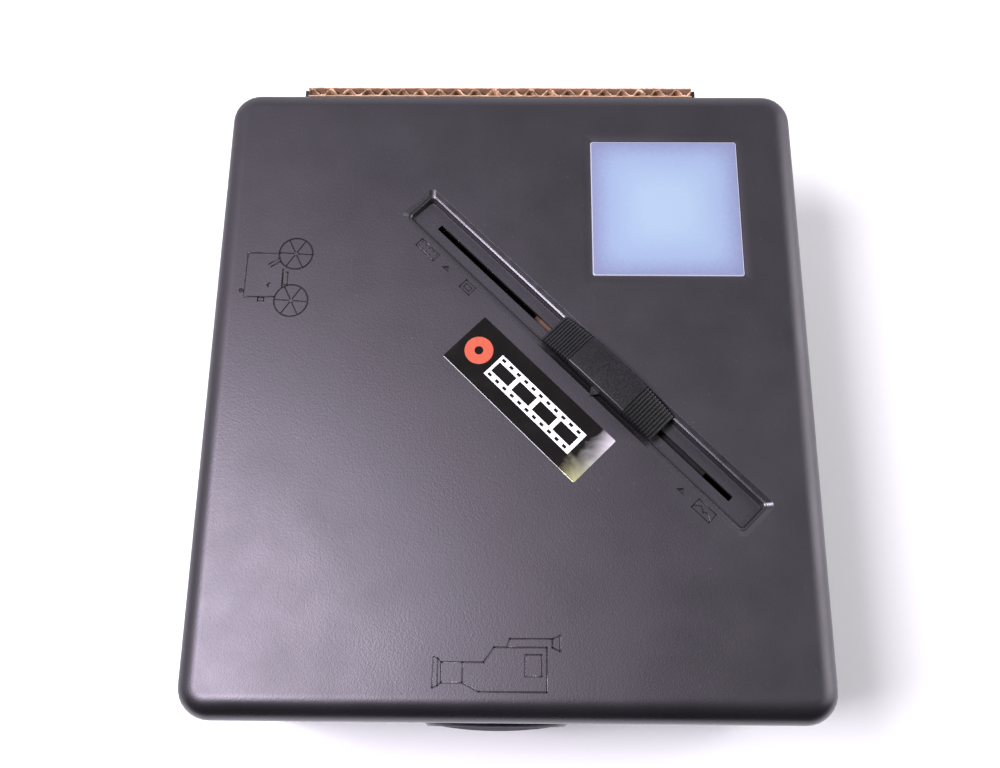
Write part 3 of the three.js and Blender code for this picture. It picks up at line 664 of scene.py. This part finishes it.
def rounded_corner(profile, radius):
    """A closed profile with each sharp corner rounded by an arc-like curve."""
    rounded = []
    count = len(profile)
    for i in range(count):
        before, here, after = (Vector(profile[(i + k) % count]) for k in (-1, 0, 1))
        start, end = (
            here + (there - here).normalized() * min(radius, (there - here).length * 0.45)
            for there in (before, after)
        )
        for t in (0.0, 1 / 3, 2 / 3, 1.0):
            point = (1 - t) ** 2 * start + 2 * t * (1 - t) * here + t ** 2 * end
            rounded.append((point.x, point.y))
    return rounded


# ---- Cover
FILLET = 8.5
CORNER = 12.0
WALL = 2.6
CHANNEL_LENGTH = 183.4
CHANNEL_WIDTH = 16.6
CHANNEL_DEPTH = 4.4
TRAY_DEPTH = 6.4
SLOT_LENGTH = 158.2
SLOT_WIDTH = 2.5
WINDOW_OPENING = 60.6
SKIRT = (SKIRT_BOTTOM - TOP) / MM
SKIRT_ROUND = 0.6
POST_INSET = 14.0
POST_RADIUS = 4.5
JOIN = -WALL + 1          # inside the top wall, where pieces from below run into it
LINE = 0.66               # width of the pictures' grooves at the surface
GROOVE = 0.36             # their depth
NARROW = 0.5              # width of a groove's bottom, as a share of its width at the surface
PIT_NARROW = 0.35
ABOVE = 0.3               # how far cutting tools stand out of the surface


def case_ring(inset, z):
    """The case's outline seen from above, drawn in by the inset."""
    return rounded_loop(CASE_WIDTH - 2 * inset, CASE_DEPTH - 2 * inset, CORNER - inset, z)


def cover_body():
    """A shell open below: a rounded lower edge, upright sides, a wide fillet and a flat top."""
    rings = [case_ring(SKIRT_ROUND, SKIRT)]
    for angle in map(math.radians, (30, 60, 90)):
        rise = SKIRT_ROUND * (1 - math.cos(angle))
        rings.append(case_ring(SKIRT_ROUND * (1 - math.sin(angle)), SKIRT + rise))
    for step in range(13):
        angle = math.radians(90 * step / 12)
        rings.append(case_ring(FILLET * (1 - math.cos(angle)), FILLET * (math.sin(angle) - 1)))
    outer_cap, inner_cap = len(rings) - 1, len(rings)
    for step in range(7):
        angle = math.radians(90 - 90 * step / 6)
        inset = WALL + (FILLET - WALL) * (1 - math.cos(angle))
        rings.append(case_ring(inset, -WALL + (FILLET - WALL) * (math.sin(angle) - 1)))
    rings.append(case_ring(WALL, SKIRT))
    count = len(rings[0])
    points, faces = loft(rings, caps=False, closed=True)
    faces = [f for f in faces if not (min(f) // count == outer_cap and max(f) // count == inner_cap)]
    faces.append(tuple(outer_cap * count + i for i in range(count)))
    faces.append(tuple(reversed([inner_cap * count + i for i in range(count)])))
    return mesh_object("cover_with_channel", points, faces, TOP_FRAME, "case")


def under_cover_parts():
    """The channel's tray, the two guide ribs and the four screw posts."""
    local_centre = (SLOT_CENTRE - Vector((0, CASE_CENTRE.y, TOP))) / MM

    def turned(points):
        return [
            tuple(local_centre + SLIDE_AXIS * x + SLIDE_ACROSS * y + Vector((0, 0, z)))
            for x, y, z in points
        ]

    tray = [rounded_loop(CHANNEL_LENGTH + 4, CHANNEL_WIDTH + 4, 2.5, z, 4) for z in (-TRAY_DEPTH, JOIN)]
    parts = [loft([turned(ring) for ring in tray])]
    rib_top = -TRAY_DEPTH + 0.5
    rib = ((-103, 117, rib_top - 5.0, rib_top), (-103, -92.5, rib_top, JOIN), (92.5, 117, rib_top, JOIN))
    for low in (-5.6, 4.0):
        for x0, x1, z0, z1 in rib:
            points, faces = box_data((x0, low, z0), (x1, low + 1.6, z1))
            parts.append((turned(points), faces))
    x, y = CASE_WIDTH / 2 - POST_INSET, CASE_DEPTH / 2 - POST_INSET
    bottom = (cover_low.z - TOP) / MM
    for px, py in rectangle(-x, -y, x, y):
        parts.append(loft([circle(px, py, POST_RADIUS, z, 24) for z in (bottom, JOIN)]))
    return mesh_object("under_parts", *merged(*parts), TOP_FRAME)


def recess_rings():
    """The channel from the surface down: soft outer edge, sloping flank, rounded rim, wall and floor.

    Each line is (how far it lies outside the channel's outline, height, corner radius).
    """
    flank = [(1.0, 0.6, 2.6), (0.74, 0.0, 2.5), (0.66, -0.04, 2.4), (0.58, -0.12, 2.4), (-0.9, -1.17, 2.0)]
    rim = [
        (-1.02, -1.23, 1.9), (-1.25, -1.27, 1.8), (-1.43, -1.32, 1.8), (-1.6, -1.41, 1.7),
        (-1.77, -1.54, 1.7), (-1.92, -1.73, 1.7), (-2.04, -1.98, 1.8), (-2.12, -2.28, 1.9),
        (-2.16, -2.7, 1.9),
    ]
    foot = [(0.0, 0.5, 1.8), (0.05, 0.2, 1.7), (0.2, 0.03, 1.6), (0.4, 0.0, 1.5)]
    lower = [(-2.38 - shrink, rise - CHANNEL_DEPTH, corner) for shrink, rise, corner in foot]
    return [
        rounded_loop(CHANNEL_LENGTH + 2 * grow, CHANNEL_WIDTH + 2 * grow, corner, z, 6)
        for grow, z, corner in flank + rim + lower
    ]


def window_cutter():
    """A sloping border, mitred at its corners, round a square opening."""
    slope = [(8.6, 0.5), (8.0, 0.0), (0.5, -0.86), (0.15, -0.95), (0.0, -1.15), (0.0, -12.0)]
    rings = []
    for grow, z in slope:
        corner = 0.4 if grow > 1 else 1.3
        rings.append(rounded_loop(WINDOW_OPENING + grow, WINDOW_OPENING + grow, corner, z, 4))
    return mesh_object("window_cutter", *loft(rings), WINDOW_FRAME)


def flare(narrow, depth):
    """A sloping tool's bottom and top: width, as a share of that at the surface, and height."""
    return (narrow, -depth), (1 + (1 - narrow) * ABOVE / depth, ABOVE)


def stroke(start, end, width, depth):
    """A straight V-shaped groove tool whose ends reach half a width past its points."""
    a, b = Vector(start), Vector(end)
    along = (b - a).normalized()
    side = Vector((-along.y, along.x))
    rings = []
    for share, z in flare(NARROW, depth):
        reach = width / 2 * share
        corners = [a - (along + side) * reach, b + (along - side) * reach,
                   b + (along + side) * reach, a - (along - side) * reach]
        rings.append([(p.x, p.y, z) for p in corners])
    return loft(rings)


def path(points, width=LINE, depth=GROOVE, closed=False):
    pairs = list(zip(points, points[1:]))
    if closed:
        pairs.append((points[-1], points[0]))
    return [stroke(a, b, width, depth) for a, b in pairs]


def ring_groove(x, y, radius, width=LINE, sides=40):
    (low, bottom), (high, top) = ((width / 2 * share, z) for share, z in flare(NARROW, GROOVE))
    section = ((radius + high, top), (radius + low, bottom), (radius - low, bottom), (radius - high, top))
    return loft([circle(x, y, r, z, sides) for r, z in section], caps=False, closed=True)


def pit_tool(points, depth):
    """A pit whose sides slope in towards its middle."""
    cx = sum(x for x, _ in points) / len(points)
    cy = sum(y for _, y in points) / len(points)
    return loft([
        [(cx + (x - cx) * share, cy + (y - cy) * share, z) for x, y in points]
        for share, z in flare(PIT_NARROW, depth)
    ])


def camcorder_picture():
    """A plain shoulder camcorder, seen from its side: lens to the left, eyepiece to the right."""
    body = [(-23.2, -106.8), (-8.3, -106.8), (-4.7, -101.6), (14.1, -101.6), (14.1, -116.8), (-9.9, -116.8),
            (-15.7, -113.8), (-23.2, -113.8)]
    hood = [(-24.5, -105.5), (-26.0, -105.1), (-26.3, -115.6), (-24.5, -114.9)]
    strokes = path(body, closed=True) + path(hood, LINE * 0.8, closed=True)
    for hood_end, body_end in ((hood[0], body[0]), (hood[-1], body[-1])):
        strokes += path([hood_end, body_end], LINE * 0.8)
    for line in (
        [(-15.7, -106.8), (-15.7, -113.8)],
        [(-0.1, -101.6), (0.9, -98.6), (16.1, -98.6), (16.1, -101.6)],
        [(16.1, -98.6), (18.9, -97.4), (18.9, -102.9), (16.1, -101.6)],
    ):
        strokes += path(line)
    return strokes + path(rectangle(6.5, -111.5, 12.3, -104.1), LINE * 0.85, closed=True)


def projector_picture():
    """A plain reel projector, seen from its side: two spoked reels in front of a square body."""
    strokes = path([(-90.2, 44.0), (-90.2, 36.4)])
    strokes += path([(-92.0, 51.1), (-104.8, 51.1), (-105.2, 32.2), (-93.0, 32.2)])
    strokes += path(rectangle(-90.2, 37.4, -88.2, 42.8), LINE * 0.8, closed=True)
    strokes += path([(-96.0, 46.3), (-92.1, 48.8)])
    strokes += path([(-95.0, 45.2), (-91.6, 47.4)])
    strokes += path([(-95.2, 38.0), (-96.1, 37.4), (-95.6, 36.6)])
    strokes += path(rectangle(-99.4, 30.4, -97.0, 31.9), LINE * 0.7, closed=True)
    strokes.append(ring_groove(-106.3, 34.9, 0.55, 0.8, 16))
    hub, reel = 0.9, 6.7
    for x, y in ((-85.5, 50.8), (-86.2, 30.6)):
        strokes.append(ring_groove(x, y, reel))
        for spoke in range(6):
            angle = math.radians(60 * spoke - 4)
            ends = [(x + r * math.cos(angle), y + r * math.sin(angle)) for r in (hub, reel - 0.5)]
            strokes += path(ends, LINE * 0.8)
    return strokes


MARK_ROW = -11.6          # the row of marks beside the channel
FINE = 0.5
FINE_DEPTH = 0.24


def channel_marks():
    """Along the channel: a pointer mark at each end, and pictures of film, a slide and a print."""
    film, slide, photo = -73.5, -50.5, 75.0
    tools = []
    for x in (-62.4, 64.1):
        triangle = [(x - 2.1, MARK_ROW - 1.1), (x + 2.1, MARK_ROW - 1.1), (x, MARK_ROW + 1.2)]
        tools.append(pit_tool(triangle, 0.55))
    tools += path(about(film, MARK_ROW, 5.0, 1.8), FINE, FINE_DEPTH, closed=True)
    for k in range(5):
        for row in (-1.0, 1.0):
            tools.append(pit_tool(about(film - 4 + 2 * k, MARK_ROW + row, 0.4, 0.3), FINE_DEPTH))
    for x, half_width, half_height, width in (
        (slide, 2.6, 2.0, FINE), (slide, 1.4, 0.9, FINE * 0.8), (photo, 4.2, 2.1, FINE),
    ):
        tools += path(about(x, MARK_ROW, half_width, half_height), width, FINE_DEPTH, closed=True)
    hills = [(-4.0, -1.2), (-1.6, 0.7), (0.2, -0.7), (1.6, 0.3), (4.0, -1.2)]
    return tools + path([(photo + x, MARK_ROW + y) for x, y in hills], FINE, FINE_DEPTH)


def add_cover():
    cover = cover_body()
    boolean(cover, under_cover_parts(), "UNION")
    boolean(cover, mesh_object("recess_cutter", *loft(recess_rings()), SLOT_FRAME))
    rings = [rounded_loop(SLOT_LENGTH, SLOT_WIDTH, 0.35, z, 3) for z in (-TRAY_DEPTH - 1, -CHANNEL_DEPTH + 1)]
    boolean(cover, mesh_object("slot_cutter", *loft(rings), SLOT_FRAME))
    boolean(cover, window_cutter())
    pictures = merged(*camcorder_picture(), *projector_picture())
    boolean(cover, mesh_object("picture_cutter", *pictures, TOP_FRAME))
    boolean(cover, mesh_object("mark_cutter", *merged(*channel_marks()), SLOT_FRAME))
    smoothed(cover, angle=28)
    polish_recesses(cover)
    return finish_piece(cover, "housing", "case_plastic", "top_cover")


def polish_recesses(cover):
    """The channel's flank and rim, the pictures and the marks are smooth; the rest is grained."""
    cover.data.materials.append(FINISH["smooth_case"])
    to_slot, to_top, to_window = SLOT_FRAME.inverted(), TOP_FRAME.inverted(), WINDOW_FRAME.inverted()
    flat_x, flat_y = (size / 2 - FILLET - 0.2 for size in (CASE_WIDTH, CASE_DEPTH))
    for face in cover.data.polygons:
        place = to_top @ face.center
        slot = to_slot @ face.center
        window = to_window @ face.center
        in_channel = abs(slot.x) < CHANNEL_LENGTH / 2 + 0.8 and abs(slot.y) < CHANNEL_WIDTH / 2 + 0.8
        by_window = max(abs(window.x), abs(window.y)) < WINDOW_OPENING / 2 + 5
        on_flat = abs(place.x) < flat_x and abs(place.y) < flat_y
        polished = -2.8 < place.z < -0.02 if in_channel else -GROOVE - 0.1 < place.z < -0.04
        if on_flat and not by_window and polished:
            face.material_index = 1


# ---- Knob
KNOB_HALF = 28.6
KNOB_HALF_WIDTH = 6.9
KNOB_FLAT = 14.2
KNOB_TOP = (knob_high.z - TOP) / MM
RIB_COUNT = 11
RIB_DEPTH = 0.55


def knob_height(x):
    """The arch's top: level in the middle, falling to a thin edge at each end."""
    t = max(0.0, (abs(x) - KNOB_FLAT + 3) / (KNOB_HALF - KNOB_FLAT + 3))
    return KNOB_TOP - (KNOB_TOP - 1.25) * t ** 1.45


def knob_section(x, groove):
    """A ring of points across the knob: flat underside, upright sides, rounded top edges."""
    low = 0.3
    top = max(knob_height(x) - groove, low + 0.35)
    edge = min(0.75, (top - low) * 0.5)
    half = KNOB_HALF_WIDTH - groove * 0.45
    points = [(x, -KNOB_HALF_WIDTH + 0.2, low), (x, -half, low + 0.2)]
    for step in range(5):
        angle = math.radians(180 - 90 * step / 4)
        points.append((x, -half + edge + edge * math.cos(angle), top - edge + edge * math.sin(angle)))
    for share in (-0.5, 0.0, 0.5):
        points.append((x, share * half, top + 0.12 * (1 - share * share)))
    for step in range(5):
        angle = math.radians(90 - 90 * step / 4)
        points.append((x, half - edge + edge * math.cos(angle), top - edge + edge * math.sin(angle)))
    points += [(x, half, low + 0.2), (x, KNOB_HALF_WIDTH - 0.2, low)]
    return points


def add_knob():
    stations = [(x, 0.0) for x in (-KNOB_FLAT + 0.1, -9.0, -4.5, 0.0, 4.5, 9.0, KNOB_FLAT - 0.1)]
    pitch = (KNOB_HALF - KNOB_FLAT) / RIB_COUNT
    shape = [(0.0, 1.0), (0.12, 1.0), (0.26, 0.35), (0.42, 0.0), (0.72, 0.0), (0.88, 0.35)]
    for rib in range(RIB_COUNT):
        for share, groove in shape:
            x = KNOB_FLAT + pitch * (rib + share)
            stations.append((x, RIB_DEPTH * groove))
            stations.append((-x, RIB_DEPTH * groove))
    stations += [(KNOB_HALF, 0.25), (-KNOB_HALF, 0.25)]
    stations.sort()
    knob = mesh_object("ribbed_knob", *loft([knob_section(x, g) for x, g in stations]), KNOB_FRAME, "knob")
    keel = loft([rounded_loop(44, 9.2, 1.0, z, 3) for z in (-3.6, 0.6)])
    tongue = box_data((-13, -1.0, -11.9), (13, 1.0, -3.5))
    pointer = [
        [(x, y, z) for x, y in ((-1.8, -6.4), (2.8, -6.4), (0.7, -9.7), (0.3, -9.7))] for z in (0.35, 1.2)
    ]
    for part in (keel, tongue, loft(pointer)):
        boolean(knob, mesh_object("knob_part", *part, KNOB_FRAME), "UNION")
    smoothed(knob, angle=38)
    return finish_piece(knob, "mirror_slider", "knob_plastic", "slider_knob")


# ---- Light window
def add_window():
    """A flanged opal pane whose upper edge is rounded and polished."""
    size, flange = 60.4, 63
    top = (window_high.z - TOP) / MM
    low = (window_low.z - TOP) / MM
    steps = [
        (flange, 1.0, low), (flange, 1.0, low + 1.4), (size, 1.0, low + 1.4), (size, 1.0, top - 0.45),
        (size - 0.2, 1.0, top - 0.18), (size - 0.5, 1.0, top - 0.05), (size - 0.8, 0.9, top),
    ]
    rings = [rounded_loop(width, width, corner, z) for width, corner, z in steps]
    pane = mesh_object("opal_pane", *loft(rings), WINDOW_FRAME, "opal", "opal_rim")
    to_window = WINDOW_FRAME.inverted()
    # The rim faces take the painted-highlight material.
    for face in pane.data.polygons:
        place = to_window @ face.center
        if max(abs(place.x), abs(place.y)) > size / 2 - 0.5 and 0.1 < face.normal.z < 0.995:
            face.material_index = 1
    smoothed(pane, angle=50)
    return finish_piece(pane, "housing", "opal_acrylic", "light_window")


# ---- Label
LABEL_LENGTH = 70.6
LABEL_WIDTH = 22.8
DISC_X = -27.0
LABEL_FRAME = turned_frame(middle(label_low, label_high, label_low.z))


def add_label():
    """A foil with a strip of film and a ring printed on it, in low relief."""
    rings = [
        rounded_loop(LABEL_LENGTH - less, LABEL_WIDTH - less, corner, z, 3)
        for less, corner, z in ((0.0, 0.5, 0.0), (0.0, 0.5, 0.16), (0.3, 0.4, 0.2))
    ]
    label = mesh_object("foil_label", *loft(rings), LABEL_FRAME, "foil_edge", "label")
    for face in label.data.polygons:
        if face.normal.z > 0.9:
            face.material_index = 1
    finish_piece(label, "housing", "label_foil", "label_foil")

    ink, through = (0.21, 0.26), (0.0, 0.5)
    film = flat_raised(rectangle(-19, -5.2, 26, 5.2), *ink)
    film_piece = mesh_object("label_film_band", *film, LABEL_FRAME, "white_ink")
    holes = [flat_raised(about(-17 + 4 * k, y, 0.9, 0.6), *through) for k in range(11) for y in (-3.9, 3.9)]
    for k in range(4):
        x = -18.2 + 11.0 * k
        holes.append(flat_raised(rectangle(x + 0.4, -2.4, x + 9.6, 2.4), *through))
    boolean(film_piece, mesh_object("film_holes", *merged(*holes), LABEL_FRAME))
    finish_piece(film_piece, "housing", "label_foil")

    disc = loft([circle(DISC_X, 0.0, 5.6, z, 48) for z in ink])
    mark = mesh_object("label_disc", *disc, LABEL_FRAME, "orange_ink")
    hub = loft([circle(DISC_X, 0.0, 1.7, z, 32) for z in through])
    boolean(mark, mesh_object("disc_hole", *hub, LABEL_FRAME))
    finish_piece(mark, "housing", "label_foil")


# ---- Corrugated card
def add_card():
    """Two liners with a wavy sheet between them, its flutes upright and its top edge a little torn."""
    chance = random.Random(7)
    place = straight_frame(Vector((card_low.x, card_low.y, card_low.z)))
    width, thick, tall = ((card_high - card_low) / MM)
    liner = 0.42
    steps = 164
    torn = [chance.uniform(-0.55, 0.0) for _ in range(steps + 1)]

    def sheet(y_of, thickness, top_of):
        """A wall of even thickness: its low front, low back, high front and high back edges."""
        across = [(k, width * k / steps) for k in range(steps + 1)]
        points = [(x, y_of(x) + back, 0.0) for back in (0.0, thickness) for _, x in across]
        points += [(x, y_of(x) + back, tall + top_of(k)) for back in (0.0, thickness) for k, x in across]
        n = steps + 1
        faces = []
        for k in range(steps):
            faces.append((k, k + 1, 2 * n + k + 1, 2 * n + k))
            faces.append((n + k + 1, n + k, 3 * n + k, 3 * n + k + 1))
            faces.append((2 * n + k, 2 * n + k + 1, 3 * n + k + 1, 3 * n + k))
            faces.append((k + 1, k, n + k, n + k + 1))
        faces.append((0, 2 * n, 3 * n, n))
        faces.append((steps, n + steps, 3 * n + steps, 2 * n + steps))
        return points, faces

    front = sheet(lambda x: 0.0, liner, lambda k: torn[k] * 0.5)
    back = sheet(lambda x: thick - liner, liner, lambda k: torn[-k] * 0.6)
    liners = mesh_object("card_liners", *merged(front, back), place, "liner")
    finish_piece(liners, "card", "card", "card_insert")

    pitch = 7.8
    jitter = [chance.uniform(-0.5, 0.5) for _ in range(40)]
    reach = (thick - 2 * liner - 0.62) / 2

    def flute(x):
        turn = x / pitch
        low = int(turn)
        slip = jitter[low] + (jitter[low + 1] - jitter[low]) * (turn - low)
        swing = math.sin(math.tau * turn + slip)
        sharp = max(-1.0, min(1.0, 1.18 * swing))
        return thick / 2 - 0.28 + reach * sharp

    steps = 492
    torn = [chance.uniform(-0.9, -0.1) for _ in range(steps + 1)]
    medium = mesh_object("card_flutes", *sheet(flute, 0.56, lambda k: torn[k]), place, "flute")
    finish_piece(medium, "card", "card")


# ---- Lens port
BACKWARD = (0, 1, 0)


def add_lens_port():
    """Turned pieces about the lens axis; distances along it run from the front to the back."""
    front, back = collar_low.y / MM, collar_high.y / MM
    wall = cover_low.y / MM
    collar = lathe("collar_turned", rounded_corner([
        (26.9, front), (27.5, front), (28.6, front + 1.0), (28.6, wall + 4.4), (41, wall + 4.4),
        (41, wall + 6.4), (30, wall + 6.4), (30, back), (27.6, back), (27.6, front + 1), (26.9, front + 1),
    ], 0.45), LENS_CENTRE, BACKWARD, "gloss", 128)
    hole = [(0, wall), (1.4, wall), (1.4, wall + 9), (0, wall + 9)]
    for k in range(1, 5):
        low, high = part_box(f"collar_screw_{k}")
        at = Vector(((low.x + high.x) / 2, 0, (low.z + high.z) / 2))
        boolean(collar, lathe("screw_hole", hole, at, BACKWARD, "gloss", 24))
    smoothed(collar, angle=40)
    finish_piece(collar, "housing", "gloss_black", "lens_port_collar")

    for node, name, inner, finish, slot in (
        ("light_seal_ring", "gasket_turned", 29.1, "rubber", "rubber"),
        ("lens_retaining_ring", "retaining_ring_turned", 24.6, "gloss", "gloss_black"),
    ):
        low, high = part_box(node)
        outer = (high.x - low.x) / 2 / MM
        outline = rectangle(inner, low.y / MM, outer, high.y / MM)
        add_turned(node, name, rounded_corner(outline, 0.3), LENS_CENTRE, BACKWARD, finish, slot)

    low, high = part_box("close_up_lens")
    dome, clear, rim = 150.0, 26.6, 27.3
    radii = [clear * k / 16 for k in range(17)]
    outline = [(r, low.y / MM + dome - math.sqrt(dome ** 2 - r ** 2)) for r in radii]
    outline += [(clear, front + 1.3), (rim, front + 1.3), (rim, high.y / MM - 0.3), (rim - 0.3, high.y / MM)]
    outline.append((0, high.y / MM))
    add_turned("close_up_lens", "lens_turned", outline, LENS_CENTRE, BACKWARD, "glass", "lens_glass", 128)


# ---- Screws and feet
def add_screw(node, body, axis):
    """A pan-head screw with a cross recess and a threaded shank, where the CAD screw lies."""
    low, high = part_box(node)
    axis = Vector(axis)
    size = high - low
    length = abs(size.dot(axis)) / MM
    across = [abs(extent) / MM for extent in size]
    head = min(across) / 2 if length > min(across) else sorted(across)[1] / 2
    start = (low + high) / 2 - axis * length * MM / 2
    height = head * 0.56
    shank = head * 0.45
    profile = [
        (0, 0.0), (head * 0.55, 0.02), (head * 0.82, height * 0.16), (head * 0.97, height * 0.5),
        (head, height * 0.85), (head * 0.97, height), (shank, height),
    ]
    turns = max(3, int((length - height) / 0.7))
    for turn in range(turns):
        at = height + (length - height) * (turn + 0.5) / turns
        profile += [(shank * 0.82, at - 0.1), (shank, at)]
    profile += [(shank * 0.6, length), (0, length)]
    screw = lathe(node + "_pan_head", profile, start, axis, "steel", 28)
    arm, slim, deep = head * 0.55, head * 0.13, height * 0.6
    for x, y in ((arm, slim), (slim, arm)):
        tool = box_data((-x, -y, -1.0), (x, y, deep))
        boolean(screw, mesh_object("recess", *tool, axis_frame(start, axis)))
    smoothed(screw, angle=40)
    return finish_piece(screw, body, "steel", node)


def add_screws():
    for k in range(1, 5):
        add_screw(f"housing_screw_{k}", "housing", (0, 0, 1))
        add_screw(f"window_screw_{k}", "housing", (0, 0, 1))
        add_screw(f"screen_screw_{k}", "housing", (-1, 0, 0))
        add_screw(f"print_holder_screw_{k}", "housing", (0, -1, 0))
        add_screw(f"collar_screw_{k}", "housing", (0, -1, 0))


def add_feet():
    for k in range(1, 5):
        node = f"rubber_foot_{k}"
        low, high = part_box(node)
        tall = (high.z - low.z) / MM
        profile = [
            (0, 0.35), (3.6, 0.35), (4.2, 0.0), (6.4, 0.0), (7.1, 0.25), (7.5, 0.9), (8.0, tall), (0, tall),
        ]
        add_turned(node, node + "_cup", profile, middle(low, high, 0), (0, 0, 1), "rubber", "rubber", 64)


# ---- Pieces that keep the CAD shape, with softened edges
def softened(node, name, finish, slot, body="housing", bevel=0.3):
    """A copy of a CAD node with its flat faces joined, its edges rounded and a real finish."""
    copy = bpy.data.objects.new(name, frame["nodes"][node].data.copy())
    bpy.context.scene.collection.objects.link(copy)
    shape = bmesh.new()
    shape.from_mesh(copy.data)
    bmesh.ops.remove_doubles(shape, verts=shape.verts, dist=1e-6)
    bmesh.ops.dissolve_limit(
        shape, angle_limit=math.radians(0.6), verts=shape.verts, edges=shape.edges, delimit=set(),
    )
    shape.to_mesh(copy.data)
    shape.free()
    copy.data.materials.clear()
    copy.data.materials.append(FINISH[finish])
    smoothed(copy, angle=32, bevel=bevel)
    return finish_piece(copy, body, slot, node)


def add_softened_pieces():
    softened("base_shell", "base_tub", "case", "case_plastic", bevel=0.35)
    softened("projector_port", "port_frame", "black", "black_plastic")
    softened("print_holder", "print_rails", "black", "black_plastic", bevel=0.35)
    softened("mirror_frame", "mirror_carriage", "bar", "black_plastic", "mirror_slider", 0.25)
    softened("screen_retainer", "screen_frame", "black", "black_plastic")
    softened("window_retainer", "window_frame", "black", "black_plastic")
    softened("lower_guide_rail", "guide_channel", "black", "black_plastic")
    softened("mirror_glass", "mirror_plate", "mirror", "mirror", "mirror_slider", 0.2)
    softened("ground_glass_screen", "screen_glass", "ground", "ground_glass", "housing", 0.25)
    for k in (1, 2):
        softened(f"guide_shoe_{k}", f"shoe_block_{k}", "nylon", "nylon", "mirror_slider", 0.5)
    for k in range(1, 5):
        softened(f"mirror_clip_{k}", f"spring_clip_{k}", "steel", "steel", "mirror_slider", 0.1)


def paint_carried_nodes():
    """CAD nodes that stay as they are still get a real finish."""
    for k in (1, 2):
        node = frame["nodes"][f"knob_screw_{k}"]
        node.data.materials.clear()
        node.data.materials.append(FINISH["steel"])


# ---- Stage
def add_stage():
    s = Surface("floor", (0.82, 0.82, 0.83), 0.6)
    # Painted shade: the floor turns from white at y = -0.33 m to dark grey at y = -0.75 m, for a darker room
    # in front of the case.
    s.mottle(s.axes(s.place)["Y"], (0.1, 0.1, 0.1), (0.82, 0.82, 0.83), 1.0, -0.75, -0.33)
    s.rub(s.noise(8, detail=3), 0.5, 0.7, 0.0, 1.0)
    FINISH["floor"] = s.material
    size = 3000.0
    points = [(x, y, 0) for x, y in rectangle(-size, -size, size, size)]
    floor = mesh_object("floor", points, [(0, 1, 2, 3)], straight_frame(Vector((0, 0, 0))), "floor")
    add_area_light("key", (-0.43, -0.09, 0.96), (-0.07, -0.03, 0.12), (0.35, 0.35), 17, (0.95, 0.9, 1.0))
    add_area_light("right_fill", (1.0, 0.1, 0.5), (0.1, 0, 0), (1.0, 0.8), 10.5, (1.0, 0.98, 1.0))


add_camera()
set_world()
add_cover()
add_knob()
add_window()
add_label()
add_card()
add_lens_port()
add_screws()
add_feet()
add_softened_pieces()
paint_carried_nodes()
add_stage()
